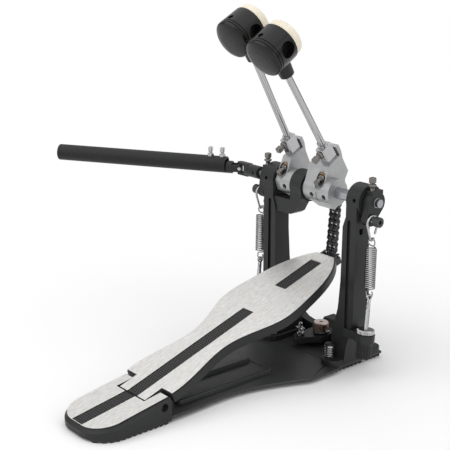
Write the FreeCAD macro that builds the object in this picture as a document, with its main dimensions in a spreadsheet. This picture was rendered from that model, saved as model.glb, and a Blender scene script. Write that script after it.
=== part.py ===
import FreeCAD, Part
import math
import os
import Sketcher

# Double bass drum pedal, primary unit. X is the player's right, Y points at the drum and Z is up.
# The origin is on the floor, below the axle, on the footboard's centre plane. Lengths are in millimetres.

Vector = FreeCAD.Vector
X_AXIS = Vector(1, 0, 0)
Y_AXIS = Vector(0, 1, 0)
Z_AXIS = Vector(0, 0, 1)
FULL_TURN = 360
# How far a cut runs past the face that it opens, and how near an edge has to be to be picked
OVER = 1.0
NEAR = 0.01

SIZES = [
    # Floor pads and base plate
    ("pad_height", 4.0),
    ("tooth_depth", 2.2),
    ("tooth_pitch", 6.0),
    ("tooth_tip", 2.0),
    ("pad_side_inset", 3.0),
    ("pad_end_inset", 0.5),
    ("heel_pad_inset", 0.4),
    ("plate_thickness", 3.0),
    ("rib_half_gap", 17.0),
    ("rib_width", 12.0),
    ("rib_height", 4.0),
    ("rib_corner", 5.4),
    ("rib_crown", 2.4),
    ("rib_front_reach", 84.0),
    ("rib_rear_reach", 208.0),
    # Heel
    ("heel_pin_reach", 235.7),
    ("heel_pin_height", 17.8),
    ("heel_pin_radius", 3.0),
    ("heel_pin_half", 33.0),
    ("pin_hole_radius", 4.0),
    ("heel_incline", 9.65),
    ("heel_top_over_pin", 7.7),
    ("heel_half", 38.0),
    ("heel_front", 8.2),
    ("heel_length", 76.0),
    ("heel_corner", 29.5),
    ("heel_bevel", 2.9),
    ("notch_half", 22.6),
    ("notch_rear", 12.0),
    ("skin_thickness", 1.5),
    ("strip_half", 8.1),
    ("strip_sink", 0.3),
    ("strip_margin", 0.8),
    ("skin_margin", 0.6),
    ("skin_front_inset", 0.8),
    # Footboard, measured along its own slope from the heel pin
    ("foot_incline", 18.47),
    ("foot_top_over_pin", 8.1),
    ("foot_bottom_under_pin", 2.4),
    ("skin_inset", 0.7),
    ("tongue_half", 21.2),
    ("tongue_rear", 9.2),
    ("tongue_front", 16.0),
    ("barrel_radius", 7.0),
    ("bush_radius", 4.6),
    ("bush_length", 12.0),
    ("strip_break_start", 146.5),
    ("strip_break_end", 193.2),
    ("insert_start", 249.3),
    ("insert_end", 262.0),
    # Axles and bearings
    ("axle_height", 185.0),
    ("hex_flats", 11.0),
    ("journal_radius", 5.0),
    ("bearing_radius", 11.0),
    ("bearing_width", 7.0),
    ("running_gap", 0.05),
    ("seat_gap", 0.02),
    ("clear_gap", 0.4),
    ("hex_end", 62.0),
    ("hex_gap", 0.5),
    ("journal_over", 0.7),
    ("axle_end", 85.5),
    ("stub_radius", 4.35),
    # Posts
    ("head_inner", 54.5),
    ("head_outer", 72.0),
    ("head_radius", 17.0),
    ("bearing_seat", 64.0),
    ("axle_clearance", 7.5),
    ("post_rear", 16.5),
    ("foot_inner", 36.0),
    ("foot_outer", 58.0),
    ("foot_rear", 32.5),
    ("foot_front", 44.0),
    ("foot_height", 6.6),
    ("foot_corner", 8.0),
    ("foot_round", 1.5),
    ("channel_inner", 57.0),
    ("channel_width", 4.5),
    ("channel_depth", 2.4),
    ("channel_low", 40.0),
    ("channel_drop", 22.0),
    ("side_hole_drop", 32.0),
    ("side_hole_rear", 8.6),
    ("side_slot_rise", 4.0),
    ("side_hole_depth", 10.0),
    ("side_hole_radius", 2.6),
    ("lug_height", 44.3),
    ("lug_rear", 12.2),
    ("lug_thickness", 8.6),
    ("lug_radius", 10.0),
    ("web_rear", 6.0),
    ("grub_radius", 2.0),
    ("grub_inset", 1.5),
    # Centre support
    ("support_left", 29.0),
    ("support_right", 12.0),
    ("support_radius", 16.5),
    ("arm_rear", 15.0),
    ("arm_front", 1.0),
    ("arm_round", 2.0),
    ("arm_round_drop", 25.0),
    ("bearing_inset", 0.1),
    # Hubs, in a frame that leans with the beater rod
    ("right_lean", 34.0),
    ("left_lean", 29.0),
    ("hub_offset", 58.0),
    ("rod_side", 10.0),
    ("rod_forward", 21.5),
    ("rod_radius", 3.6),
    ("rod_foot", 20.5),
    ("key_side", 1.0),
    ("hub_right_face", 18.0),
    ("hub_left_face", 10.6),
    ("left_block_start", 4.5),
    ("left_collar_start", 12.0),
    ("left_collar_end", 28.4),
    ("collar_radius", 14.5),
    ("collar_end", 26.7),
    ("collar_hole_radius", 2.8),
    ("collar_hole_left", 12.6),
    ("collar_hole_right", 7.0),
    ("collar_hole_depth", 4.0),
    ("collar_hole_rise", 4.0),
    ("split_side", 8.6),
    ("split_width", 0.9),
    ("split_reach", 3.0),
    ("split_depth", 1.5),
    ("split_rear", 20.0),
    ("split_front", 5.0),
    ("split_top", 8.0),
    ("lip_half", 12.0),
    ("lip_pitch_radius", 27.0),
    ("track_drop", 3.1),
    ("track_half", 8.0),
    ("track_cut", 16.0),
    ("track_margin", 6.32),
    ("clamp_half", 5.5),
    ("clamp_floor", 25.0),
    ("clamp_rise", 18.0),
    ("clamp_rear", 13.6),
    ("clamp_front", 29.0),
    ("clamp_ring_radius", 5.4),
    ("clamp_ring_rise", 2.6),
    ("clamp_bevel", 1.2),
    ("key_radius", 2.6),
    ("key_collar", 4.2),
    ("key_head", 5.8),
    ("upper_key_rise", 38.0),
    ("lower_key_rise", 16.0),
    ("lower_seat", 4.6),
    ("washer_radius", 5.6),
    ("washer_thickness", 2.2),
    ("seat_wall", 0.7),
    ("key_boss_end", 14.0),
    ("key_hole_end", 13.0),
    ("lower_key_tip", 12.5),
    ("key_tip_gap", 0.2),
    ("key_shank_start", 6.0),
    ("key_collar_height", 3.2),
    ("key_reach", 11.5),
    ("key_neck", 5.0),
    ("washer_cut_reach", 5.0),
    # Beaters
    ("right_beater_reach", 170.5),
    ("left_beater_reach", 176.5),
    ("beater_radius", 21.0),
    ("boss_radius", 7.5),
    ("boss_drop", 33.0),
    ("boss_flare", 1.6),
    ("boss_overlap", 14.0),
    ("rod_hole_end", 2.0),
    ("rod_top_gap", 2.5),
    ("eye_radius", 8.2),
    ("eye_depth", 10.0),
    ("set_hole_radius", 3.0),
    ("set_hole_back", 7.0),
    ("set_hole_depth", 6.0),
    # Chain
    ("chain_pitch", 6.35),
    ("strand_side", 3.2),
    ("link_end_radius", 2.75),
    ("link_waist", 2.1),
    ("link_plate", 0.75),
    ("roller_radius", 1.9),
    ("roller_half", 1.59),
    ("chain_pin_radius", 1.15),
    ("chain_pin_half", 7.6),
    ("plate_gap", 0.1),
    ("pitch_radius", 27.0),
    ("end_pin_half", 12.0),
    ("anchor_pin_inset", 0.2),
    ("clip_half", 10.8),
    ("clip_wall", 2.5),
    ("clip_thickness", 3.0),
    ("clip_start", 225.0),
    ("clip_end", 267.5),
    ("ear_start", 264.5),
    ("ear_end", 274.0),
    ("ear_top", 6.4),
    ("ear_round", 1.0),
    ("toe_pin_along", 271.44),
    ("toe_pin_over", 3.234),
    ("slot_half", 1.7),
    # Rockers and springs
    ("rocker_start", 73.0),
    ("rocker_end", 81.5),
    ("rocker_radius", 11.3),
    ("rocker_arm", 18.3),
    ("rocker_back", 24.0),
    ("rocker_tip", 6.4),
    ("rocker_lug_rear", 7.5),
    ("rocker_lug_front", 8.0),
    ("rocker_lug_rise", 12.5),
    ("rocker_key_rear", 3.5),
    ("rocker_key_rise", 26.0),
    ("rocker_screw_sink", 2.0),
    ("screw_tip_gap", 0.3),
    ("rocker_collar_low", 9.0),
    ("rocker_collar_high", 6.6),
    ("screw_head_height", 5.5),
    ("roller_sleeve", 3.5),
    ("sleeve_end", 86.5),
    ("bolt_end", 93.0),
    ("bolt_head", 5.2),
    ("bolt_shank", 2.5),
    ("bolt_tip_inset", 1.0),
    ("socket_depth", 3.0),
    ("socket_flats", 4.0),
    ("spring_side", 83.0),
    ("rod_lean", 4.76),
    ("rod_reach", 43.35),
    ("wire_radius", 0.8),
    ("coil_radius", 5.1),
    ("coil_pitch", 2.1),
    ("stirrup_drop", 28.49),
    ("loop_radius", 4.2),
    ("loop_clear", 1.9),
    ("hook_in", 0.4),
    ("hook_lead", 2.805),
    ("hook_rise", 1.3),
    ("stirrup_wire", 1.2),
    ("stirrup_radius", 7.7),
    ("stirrup_hook", 2.6),
    ("hook_slack", 0.3),
    ("spring_rod_radius", 2.5),
    ("spring_rod_drop", 25.0),
    ("rod_eye_radius", 3.6),
    ("rod_eye_half", 1.3),
    ("rod_eye_bore", 1.3),
    ("lock_nut_radius", 9.2),
    ("lock_nut_height", 5.0),
    ("lock_nut_bevel", 0.7),
    ("thumb_nut_radius", 8.0),
    ("thumb_nut_height", 17.0),
    ("thumb_rib", 0.9),
    ("thumb_collar", 2.5),
    # Drive shaft
    ("joint_reach", 127.0),
    ("shaft_yaw", 30.5),
    ("yoke_radius", 7.2),
    ("yoke_start", 92.5),
    ("yoke_base", 16.0),
    ("yoke_slot", 4.4),
    ("yoke_eye", 3.9),
    ("yoke_web", 3.0),
    ("yoke_end_gap", 0.1),
    ("yoke_screw_radius", 1.5),
    ("yoke_screw_wall", 1.5),
    ("yoke_screw_side", 6.0),
    ("cross_pin", 2.0),
    ("cross_body", 3.4),
    ("cross_inset", 0.3),
    ("slave_end", 107.0),
    ("outer_base", 13.0),
    ("outer_hub_end", 16.4),
    ("shaft_radius", 4.95),
    ("shaft_end", 100.0),
    ("tube_radius", 9.5),
    ("tube_lift", 2.4),
    ("tube_near_bore", 7.4),
    ("tube_bore", 8.2),
    ("tube_start", 17.0),
    ("tube_step", 108.0),
    ("tube_end", 231.0),
    ("tube_screw_first", 22.4),
    ("tube_screw_second", 36.8),
    ("tube_screw_radius", 1.9),
    ("tube_nut_radius", 3.9),
    ("tube_nut_height", 2.6),
    ("tube_screw_rise", 10.0),
    ("tube_key_half", 2.32),
    # Hoop clamp and spurs
    ("pivot_forward", 22.0),
    ("pivot_height", 16.5),
    ("pivot_radius", 2.0),
    ("pivot_left", 24.0),
    ("pivot_right", 16.0),
    ("knob_radius", 8.7),
    ("knob_base", 20.8),
    ("knob_top", 32.8),
    ("knob_forward", 7.5),
    ("knob_shank", 3.0),
    ("knob_hole", 2.0),
    ("knob_bevel", 1.0),
    ("knob_hole_depth", 5.0),
    ("knob_pin_radius", 1.4),
    ("knob_pin_reach", 3.5),
    ("knob_pin_rise", 3.5),
    ("screw_foot_gap", 1.2),
    ("tee_side", 12.0),
    ("tee_rear", 12.0),
    ("tee_radius", 2.2),
    ("tee_top", 33.0),
    ("tee_bar_height", 26.5),
    ("tee_bar_half", 5.0),
    ("tee_collar", 4.4),
    ("tee_collar_low", 7.2),
    ("tee_collar_high", 4.4),
    ("tee_bar_radius", 1.7),
    ("tee_head", 2.7),
    ("tee_head_half", 2.4),
    ("bridge_rear", 17.0),
    ("bridge_front", 27.0),
    ("spur_side", 44.0),
    ("spur_rear", 24.0),
    ("spur_radius", 2.6),
    ("spur_head", 5.3),
    ("spur_head_base", 25.0),
    ("spur_head_top", 30.0),
    ("spur_tip", 5.0),
    ("spur_point", 3.0),
    ("spur_point_radius", 0.5),
    ("spur_bevel", 0.8),
    ("spur_coil_radius", 4.2),
    ("spur_wire", 0.6),
    ("spur_pitch", 2.0),
    ("spur_turns", 5.0),
]

# Outlines by corner or curve point, two rows each in the sheet
OUTLINES = {
    # Half widths of the base plate, from the heel to the front
    "base": [(-227.5, 37.8), (-190.0, 36.8), (-145.0, 35.8), (-98.0, 47.6), (-66.0, 61.2)],
    # Half widths of its front part, under the posts
    "base_front": [(-66.0, 61.2), (-28.0, 61.0), (-20.0, 57.5), (44.0, 57.5)],
    # Half widths of the footboard along its slope
    "board": [(12.0, 37.3), (58.0, 31.6), (93.0, 27.4), (122.0, 35.6), (152.0, 46.6),
              (190.0, 44.2), (214.0, 39.6), (238.0, 31.6), (264.0, 13.6)],
    # Post seen from behind: across, and up from the floor or down from the axle
    "post_inner": [(38.0, 7.0), (38.0, 18.0), (40.0, 40.0), (47.3, 68.0), (49.8, 98.0)],
    "post_head": [(50.6, 28.0), (54.5, 17.0), (54.5, 0.0), (69.0, 0.0)],
    "post_outer": [(69.0, 58.0), (60.0, 26.0), (58.0, 7.0)],
    # Post seen from the side: forward, and up from the floor or down from the axle
    "side_rear": [(-16.5, 7.0)],
    "side_head": [(-16.5, 0.0), (4.0, 0.0), (4.0, 55.0)],
    "side_front": [(8.0, 60.0), (20.0, 13.6), (20.0, 7.0)],
    # Hooked arm seen from behind: across, and down from the axle
    "arm": [(-54.5, 31.5), (-34.0, 32.0), (-27.5, 31.5), (-22.5, 28.5), (-15.0, 16.0), (-12.0, 12.0),
            (-12.0, 0.0), (-29.0, 0.0), (-29.0, 15.4), (-30.0, 16.0), (-54.5, 16.0)],
    # Hub block seen from the side, in the leaning frame
    "block": [(29.3, 36.0), (33.7, 36.0), (33.5, 28.0), (31.0, 19.4), (30.2, 2.0), (21.9, -2.6),
              (16.8, -12.0), (6.0, -13.2), (-9.0, -11.0), (-14.0, -3.0), (-12.0, 8.2), (6.9, 22.2),
              (10.2, 25.0), (29.3, 25.0)],
    # Cam lip below the hub, for a chain at the lip's own pitch radius
    "lip": [(0.0, 0.0), (16.8, -12.0), (10.3, -24.8), (-3.4, -26.0), (-8.0, -14.0)],
    # Beater head, half section
    "head": [(0.0, -21.0), (9.0, -20.6), (15.0, -19.6), (19.0, -18.2), (20.6, -16.8), (21.0, -15.4),
             (20.2, -15.0), (20.2, -14.2), (21.0, -13.8), (21.0, -12.4), (20.2, -12.0), (20.2, -11.2),
             (21.0, -10.8), (21.0, 10.5), (0.0, 10.5)],
    # Felt, half section
    "felt": [(0.0, 10.5), (20.3, 10.5), (20.3, 16.9), (19.4, 19.2), (17.4, 20.9), (14.0, 21.8), (0.0, 22.5)],
    # Lever seen from above: across and forward
    "lever_plan": [(-20.0, -12.0), (-18.4, -17.0), (-14.6, -20.0), (-9.4, -20.0), (-5.6, -17.0),
                   (-4.0, -12.0),
                   (9.5, 0.0), (9.5, 45.0), (-17.5, 45.0), (-17.5, 0.0)],
    # Lever seen from the side: forward and up
    "lever_side": [(-21.0, 10.0), (-21.0, 17.0), (0.0, 19.6), (24.0, 20.6), (30.0, 28.0), (45.0, 28.0),
                   (45.0, 21.5), (32.0, 21.5), (27.5, 12.8), (0.0, 12.4)],
    # Front bridge seen from behind
    "bridge": [(-46.0, 7.0), (46.0, 7.0), (46.0, 29.0), (38.0, 24.0), (24.0, 22.5), (11.0, 21.5),
               (10.2, 10.6), (-18.2, 10.6), (-19.0, 21.5), (-30.0, 22.5), (-38.0, 24.0), (-46.0, 29.0)],
    # Rocker arm, in a frame that leans back with it
    "rocker": [(-10.6, 4.0), (-10.6, -4.0), (-6.2, -18.3), (6.2, -18.3), (10.6, -4.0), (10.6, 4.0)],
}

DOC = FreeCAD.newDocument("double_pedal")
SHEET = DOC.addObject("Spreadsheet::Sheet", "Sizes")
rows = list(SIZES)
for outline_name, outline_points in OUTLINES.items():
    for number, (across, along) in enumerate(outline_points):
        rows.append(("%s_corner_%d_first" % (outline_name, number), across))
        rows.append(("%s_corner_%d_second" % (outline_name, number), along))
for row, (alias, amount) in enumerate(rows, 1):
    SHEET.set("A%d" % row, alias.replace("_", " "))
    SHEET.set("B%d" % row, str(amount))
    SHEET.setAlias("B%d" % row, alias)
DOC.recompute()


class Size:
    """A number together with the sheet expression that gives it."""

    def __init__(self, value, text):
        self.value = value
        self.text = text

    def __add__(self, other):
        other = as_size(other)
        return Size(self.value + other.value, "(%s + %s)" % (self.text, other.text))

    def __radd__(self, other):
        return as_size(other) + self

    def __sub__(self, other):
        other = as_size(other)
        return Size(self.value - other.value, "(%s - %s)" % (self.text, other.text))

    def __rsub__(self, other):
        return as_size(other) - self

    def __mul__(self, other):
        other = as_size(other)
        return Size(self.value * other.value, "(%s * %s)" % (self.text, other.text))

    def __rmul__(self, other):
        return as_size(other) * self

    def __truediv__(self, other):
        other = as_size(other)
        return Size(self.value / other.value, "(%s / %s)" % (self.text, other.text))

    def __neg__(self):
        return Size(-self.value, "(0 - %s)" % self.text)


def as_size(amount):
    if isinstance(amount, Size):
        return amount
    return Size(float(amount), "(%.6f)" % amount)


class Sheet:
    """Named sizes, read from the sheet's cells."""

    def __getattr__(self, alias):
        return Size(float(SHEET.get(alias)), "Sizes." + alias)


S = Sheet()


def outline(name):
    """The corners of a named outline as pairs of sizes."""
    corners = []
    for number in range(len(OUTLINES[name])):
        first = getattr(S, "%s_corner_%d_first" % (name, number))
        second = getattr(S, "%s_corner_%d_second" % (name, number))
        corners.append((first, second))
    return corners


def below_axle(name):
    """The corners of an outline that hangs from the axle's height."""
    return [(across, S.axle_height - drop) for across, drop in outline(name)]


def numbers(name):
    return [(first.value, second.value) for first, second in outline(name)]


def sin_of(angle):
    return Size(math.sin(math.radians(angle.value)), "sin(%s * 1 deg)" % angle.text)


def cos_of(angle):
    return Size(math.cos(math.radians(angle.value)), "cos(%s * 1 deg)" % angle.text)


class Frame:
    """A place in the middle plane, turned about X."""

    def __init__(self, y, z, angle):
        self.y = as_size(y)
        self.z = as_size(z)
        self.angle = as_size(angle)

    def point(self, y, z):
        turn_cos = cos_of(self.angle)
        turn_sin = sin_of(self.angle)
        forward = self.y + y * turn_cos - z * turn_sin
        up = self.z + y * turn_sin + z * turn_cos
        return forward, up


NODES = {}


def node(label, obj):
    """Gives a finished sub-part its name."""
    obj.Label = label
    NODES[label] = obj
    return obj


def bind(obj, **sizes):
    for prop, amount in sizes.items():
        obj.setExpression(prop, as_size(amount).text)


def place(obj, x=0.0, y=0.0, z=0.0, axis=None, angle=0.0):
    """Puts an object at a bound place, turned about one axis by a bound angle."""
    angle = as_size(angle)
    turn = FreeCAD.Rotation(axis or X_AXIS, angle.value)
    spot = [as_size(c) for c in (x, y, z)]
    obj.Placement = FreeCAD.Placement(Vector(*[c.value for c in spot]), turn)
    for name, amount in zip("xyz", spot):
        obj.setExpression("Placement.Base." + name, amount.text)
    if axis is not None and angle.value > 1e-9:
        obj.setExpression("Placement.Rotation.Angle", "%s * 1 deg" % angle.text)
    return obj


def seat(obj, frame):
    """Puts a piece that was made in a leaning frame where it belongs."""
    return place(obj, 0, frame.y, frame.z, X_AXIS, frame.angle)


def box(x0, x1, y0, y1, z0, z1, frame=None):
    obj = DOC.addObject("Part::Box", "box")
    low = [as_size(c) for c in (x0, y0, z0)]
    high = [as_size(c) for c in (x1, y1, z1)]
    spans = [b - a for a, b in zip(low, high)]
    bind(obj, Length=spans[0], Width=spans[1], Height=spans[2])
    if frame is None:
        return place(obj, *low)
    y, z = frame.point(low[1], low[2])
    return place(obj, low[0], y, z, X_AXIS, frame.angle)


AXIS_TURNS = {
    "X": (Y_AXIS, 90.0),
    "Y": (-X_AXIS, 90.0),
    "Z": (X_AXIS, 0.0),
}


def cylinder(radius, start, end, x=0.0, y=0.0, z=0.0, along="X", sweep=None):
    """A cylinder along one axis, from start to end. The other two coordinates place its axis."""
    obj = DOC.addObject("Part::Cylinder", "cylinder")
    start = as_size(start)
    bind(obj, Radius=radius, Height=as_size(end) - start)
    if sweep is not None:
        bind(obj, Angle=sweep)
    axis, angle = AXIS_TURNS[along]
    spot = {"X": (start, y, z), "Y": (x, start, z), "Z": (x, y, start)}[along]
    return place(obj, *spot, axis, angle)


def hexagon(flats, start, end, y=0.0, z=0.0):
    """A six-sided bar along X."""
    obj = DOC.addObject("Part::Prism", "hexagon")
    obj.Polygon = 6
    start = as_size(start)
    bind(obj, Circumradius=flats / 2 / cos_of(as_size(30)), Height=as_size(end) - start)
    return place(obj, start, y, z, Y_AXIS, 90.0)


def fuse(*pieces):
    obj = DOC.addObject("Part::MultiFuse", "fuse")
    obj.Shapes = list(pieces)
    obj.Refine = True
    return obj


def cut(base, *tools):
    obj = DOC.addObject("Part::Cut", "cut")
    obj.Base = base
    obj.Tool = tools[0] if len(tools) == 1 else group(*tools)
    return obj


def common(first, second):
    obj = DOC.addObject("Part::Common", "common")
    obj.Base = first
    obj.Tool = second
    return obj


def group(*pieces):
    obj = DOC.addObject("Part::Compound", "group")
    obj.Links = list(pieces)
    return obj


def rounded(base, radius, chosen):
    """Rounds the edges that the test picks."""
    DOC.recompute()
    obj = DOC.addObject("Part::Fillet", "fillet")
    obj.Base = base
    r = as_size(radius).value
    obj.Edges = [(i, r, r) for i, edge in enumerate(base.Shape.Edges, 1) if chosen(edge)]
    return obj


def bevelled(base, width, chosen):
    """Bevels the edges that the test picks."""
    DOC.recompute()
    obj = DOC.addObject("Part::Chamfer", "chamfer")
    obj.Base = base
    w = as_size(width).value
    obj.Edges = [(i, w, w) for i, edge in enumerate(base.Shape.Edges, 1) if chosen(edge)]
    return obj


def runs_along(edge, axis):
    if not isinstance(edge.Curve, Part.Line):
        return False
    return abs(abs(edge.Curve.Direction.dot(axis)) - 1.0) < 1e-6


def plane_of(body, role):
    for feature in body.Origin.OriginFeatures:
        if feature.Role == role:
            return feature
    raise ValueError("no plane " + role)


def polygon_sketch(body, role, points):
    """A closed outline whose corners are bound to the sheet."""
    sketch = body.newObject("Sketcher::SketchObject", "outline")
    sketch.AttachmentSupport = (plane_of(body, role), [""])
    sketch.MapMode = "FlatFace"
    corners = [(as_size(u), as_size(v)) for u, v in points]
    count = len(corners)
    for i in range(count):
        start = corners[i]
        end = corners[(i + 1) % count]
        a = Vector(start[0].value, start[1].value, 0)
        b = Vector(end[0].value, end[1].value, 0)
        sketch.addGeometry(Part.LineSegment(a, b))
    for i in range(count):
        sketch.addConstraint(Sketcher.Constraint("Coincident", i, 2, (i + 1) % count, 1))
    for i, pair in enumerate(corners):
        for kind, amount in zip(("DistanceX", "DistanceY"), pair):
            made = sketch.addConstraint(Sketcher.Constraint(kind, -1, 1, i, 1, amount.value))
            sketch.setExpression("Constraints[%d]" % made, amount.text)
    return sketch


def padded(role, points, start, length):
    """A body made by padding an outline, from start along the plane's normal."""
    body = DOC.addObject("PartDesign::Body", "body")
    sketch = polygon_sketch(body, role, points)
    offset = as_size(start)
    sketch.AttachmentOffset = FreeCAD.Placement(Vector(0, 0, offset.value), FreeCAD.Rotation())
    sketch.setExpression("AttachmentOffset.Base.z", offset.text)
    pad = body.newObject("PartDesign::Pad", "pad")
    pad.Profile = sketch
    bind(pad, Length=length)
    body.Tip = pad
    return body


def padded_x(points, x0, x1):
    """Padding along X of an outline given forward and up."""
    return padded("YZ_Plane", points, x0, as_size(x1) - as_size(x0))


def padded_y(points, y0, y1):
    """Padding along Y of an outline given across and up."""
    return padded("XZ_Plane", points, -as_size(y1), as_size(y1) - as_size(y0))


def padded_z(points, z0, z1):
    """Padding along Z of an outline given across and forward."""
    return padded("XY_Plane", points, z0, as_size(z1) - as_size(z0))


def revolved(points):
    """A body made by turning a half outline in the XY plane about Y."""
    body = DOC.addObject("PartDesign::Body", "body")
    sketch = polygon_sketch(body, "XY_Plane", points)
    turn = body.newObject("PartDesign::Revolution", "turn")
    turn.Profile = sketch
    turn.ReferenceAxis = (sketch, ["V_Axis"])
    turn.Angle = FULL_TURN
    body.Tip = turn
    return body


def shaped(shape, x=0.0, y=0.0, z=0.0, axis=None, angle=0.0):
    """A sub-part whose shape is worked out here, then put in its place."""
    obj = DOC.addObject("Part::Feature", "shape")
    obj.Shape = shape
    turn = FreeCAD.Rotation(axis or X_AXIS, as_size(angle).value)
    spot = Vector(*[as_size(c).value for c in (x, y, z)])
    obj.Placement = FreeCAD.Placement(spot, turn)
    return obj


def seated_shape(shape, frame):
    return shaped(shape, 0, frame.y, frame.z, X_AXIS, frame.angle)


def prism(points, x0, x1):
    """A solid between two X planes, from corners given forward and up."""
    corners = [Vector(x0, u, v) for u, v in points]
    face = Part.Face(Part.makePolygon(corners + corners[:1]))
    return face.extrude(Vector(x1 - x0, 0, 0))


def block_shape(x0, x1, y0, y1, z0, z1):
    return Part.makeBox(x1 - x0, y1 - y0, z1 - z0, Vector(x0, y0, z0))


def rod_shape(radius, x0, x1, y=0.0, z=0.0):
    return Part.makeCylinder(radius, x1 - x0, Vector(x0, y, z), X_AXIS)


# Frames and levels that several pieces share
plate_top = S.pad_height + S.plate_thickness
foot_top = plate_top + S.foot_height
heel_pin_y = -S.heel_pin_reach
HEEL = Frame(heel_pin_y, S.heel_pin_height, S.heel_incline)
BOARD = Frame(heel_pin_y, S.heel_pin_height, S.foot_incline)
RIGHT = Frame(0, S.axle_height, S.right_lean)
LEFT = Frame(0, S.axle_height, S.left_lean)
ROD = Frame(-S.lug_rear, S.lug_height, FULL_TURN - S.rod_lean)
eye_y, eye_z = ROD.point(as_size(0), S.rod_reach)
lug_half = S.lug_thickness / 2
# The chain runs from the toe pin to the cam's pitch circle along a tangent, with an even count of links
CAM_LINKS = 5
toe_y, toe_z = [amount.value for amount in BOARD.point(S.toe_pin_along, S.toe_pin_over)]
toe_drop = S.axle_height.value - toe_z
cam_radius = S.pitch_radius.value
run_length = math.sqrt(toe_y ** 2 + toe_drop ** 2 - cam_radius ** 2)
RUN_LINKS = 2 * round(run_length / S.chain_pitch.value / 2)
LINK_PITCH = run_length / RUN_LINKS
CHAIN_START = math.atan2(-toe_drop, toe_y) + math.atan2(run_length, cam_radius)
CAM_STEP = 2 * math.asin(LINK_PITCH / cam_radius / 2)
# Angle of the chain's last pin in the right hub's frame, which the cam's track has to pass
CHAIN_END = CHAIN_START + CAM_LINKS * CAM_STEP - math.radians(S.right_lean.value)
track_radius = S.pitch_radius - S.track_drop
track_sweep = FULL_TURN / 4 + math.degrees(CHAIN_END) + S.track_margin
SIDES = (("right", 1, RIGHT, as_size(0)), ("left", -1, LEFT, -S.hub_offset))


def ordered(a, b):
    """Two sizes in rising order, for pieces that are mirrored to the left."""
    a = as_size(a)
    b = as_size(b)
    return (a, b) if a.value < b.value else (b, a)


# Base plate and floor pads
def smooth_face(points):
    """A face between a curve through half widths and its mirror image."""
    right = [Vector(half, along, 0) for along, half in points]
    left = [Vector(-half, along, 0) for along, half in reversed(points)]
    edges = []
    for side in (right, left):
        curve = Part.BSplineCurve()
        curve.interpolate(side)
        edges.append(curve.toShape())
    front = Part.LineSegment(right[-1], left[0]).toShape()
    rear = Part.LineSegment(left[-1], right[0]).toShape()
    return Part.Face(Part.Wire([edges[0], front, edges[1], rear]))


def straight_face(points):
    """A face with straight sides between half widths and their mirror image."""
    right = [Vector(half, along, 0) for along, half in points]
    left = [Vector(-half, along, 0) for along, half in reversed(points)]
    return Part.Face(Part.makePolygon(right + left + right[:1]))


def spur_holes(height):
    holes = []
    for side in (-1, 1):
        spot = Vector(side * S.spur_side.value, -S.spur_rear.value, -height)
        holes.append(Part.makeCylinder(S.spur_radius.value + S.clear_gap.value, 3 * height, spot))
    return Part.makeCompound(holes)


def base_plate():
    thickness = S.plate_thickness.value
    points = numbers("base")
    rear = points[0][0]
    notch = S.notch_half.value
    plate = smooth_face(points).extrude(Vector(0, 0, thickness))
    plate = plate.fuse(straight_face(numbers("base_front")).extrude(Vector(0, 0, thickness)))
    heel_tongue = block_shape(-notch, notch, -S.heel_pin_reach.value - S.notch_rear.value, rear, 0, thickness)
    plate = plate.fuse(heel_tongue)
    width = S.rib_width.value
    top = thickness + S.rib_height.value
    for side in (-1, 1):
        x = side * S.rib_half_gap.value
        rib = block_shape(x - width / 2, x + width / 2, -S.rib_rear_reach.value, -S.rib_front_reach.value,
                          0, top)
        rib = rib.makeFillet(S.rib_corner.value, [e for e in rib.Edges if runs_along(e, Z_AXIS)])
        crown = [e for e in rib.Edges if abs(e.BoundBox.ZMin - top) < 1e-6]
        rib = rib.makeFillet(S.rib_crown.value, crown)
        plate = plate.fuse(rib)
    return plate.cut(spur_holes(thickness)).removeSplitter()


def ridged_pad(y0, y1, half, height):
    """Rubber with teeth across its underside. One tooth tip lies on the line Y = 0."""
    pitch = S.tooth_pitch.value
    tip = S.tooth_tip.value
    depth = S.tooth_depth.value
    slope = (pitch - tip) / 2
    first = math.ceil((y0 + tip / 2) / pitch)
    last = math.floor((y1 - tip / 2) / pitch)
    points = [(y0, height), (y0, depth)]
    for k in range(first, last + 1):
        centre = k * pitch
        points.append((max(centre - tip / 2 - slope, y0), depth))
        points.append((centre - tip / 2, 0.0))
        points.append((centre + tip / 2, 0.0))
        points.append((min(centre + tip / 2 + slope, y1), depth))
    points += [(y1, depth), (y1, height)]
    kept = []
    for point in points:
        if not kept or math.dist(point, kept[-1]) > 1e-6:
            kept.append(point)
    return prism(kept, -half, half)


def front_pad():
    inset = S.pad_end_inset.value
    half = S.foot_outer.value - S.pad_side_inset.value
    pad = ridged_pad(-S.foot_rear.value + inset, S.foot_front.value - inset, half, S.pad_height.value)
    return pad.cut(spur_holes(S.pad_height.value))


def heel_pad():
    inset = S.heel_pad_inset.value
    rear = -S.heel_pin_reach.value - S.heel_length.value + inset
    front = -S.heel_pin_reach.value + S.heel_front.value - inset
    half = S.heel_half.value - inset
    pad = ridged_pad(rear, front, half, S.pad_height.value)
    plan = block_shape(-half, half, rear, front, 0, S.pad_height.value)
    corners = [e for e in plan.Edges if runs_along(e, Z_AXIS) and e.BoundBox.YMax < rear + 1]
    return pad.common(plan.makeFillet(S.heel_corner.value - inset, corners))


node("base_plate", shaped(base_plate(), z=S.pad_height))
node("floor_pads", group(shaped(front_pad()), shaped(heel_pad())))


# Heel block, plate, strip and pin
heel_rear_y = heel_pin_y - S.heel_length
heel_front_y = heel_pin_y + S.heel_front
heel_rise = sin_of(S.heel_incline) / cos_of(S.heel_incline)
heel_skin_top = S.heel_top_over_pin * cos_of(S.heel_incline)
heel_skin_low = heel_skin_top - S.skin_thickness
heel_inset = S.heel_bevel + S.skin_margin
heel_skin_rear = -(S.heel_length - heel_inset) / cos_of(S.heel_incline)
heel_strip_rear = heel_skin_rear + S.strip_margin


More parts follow.
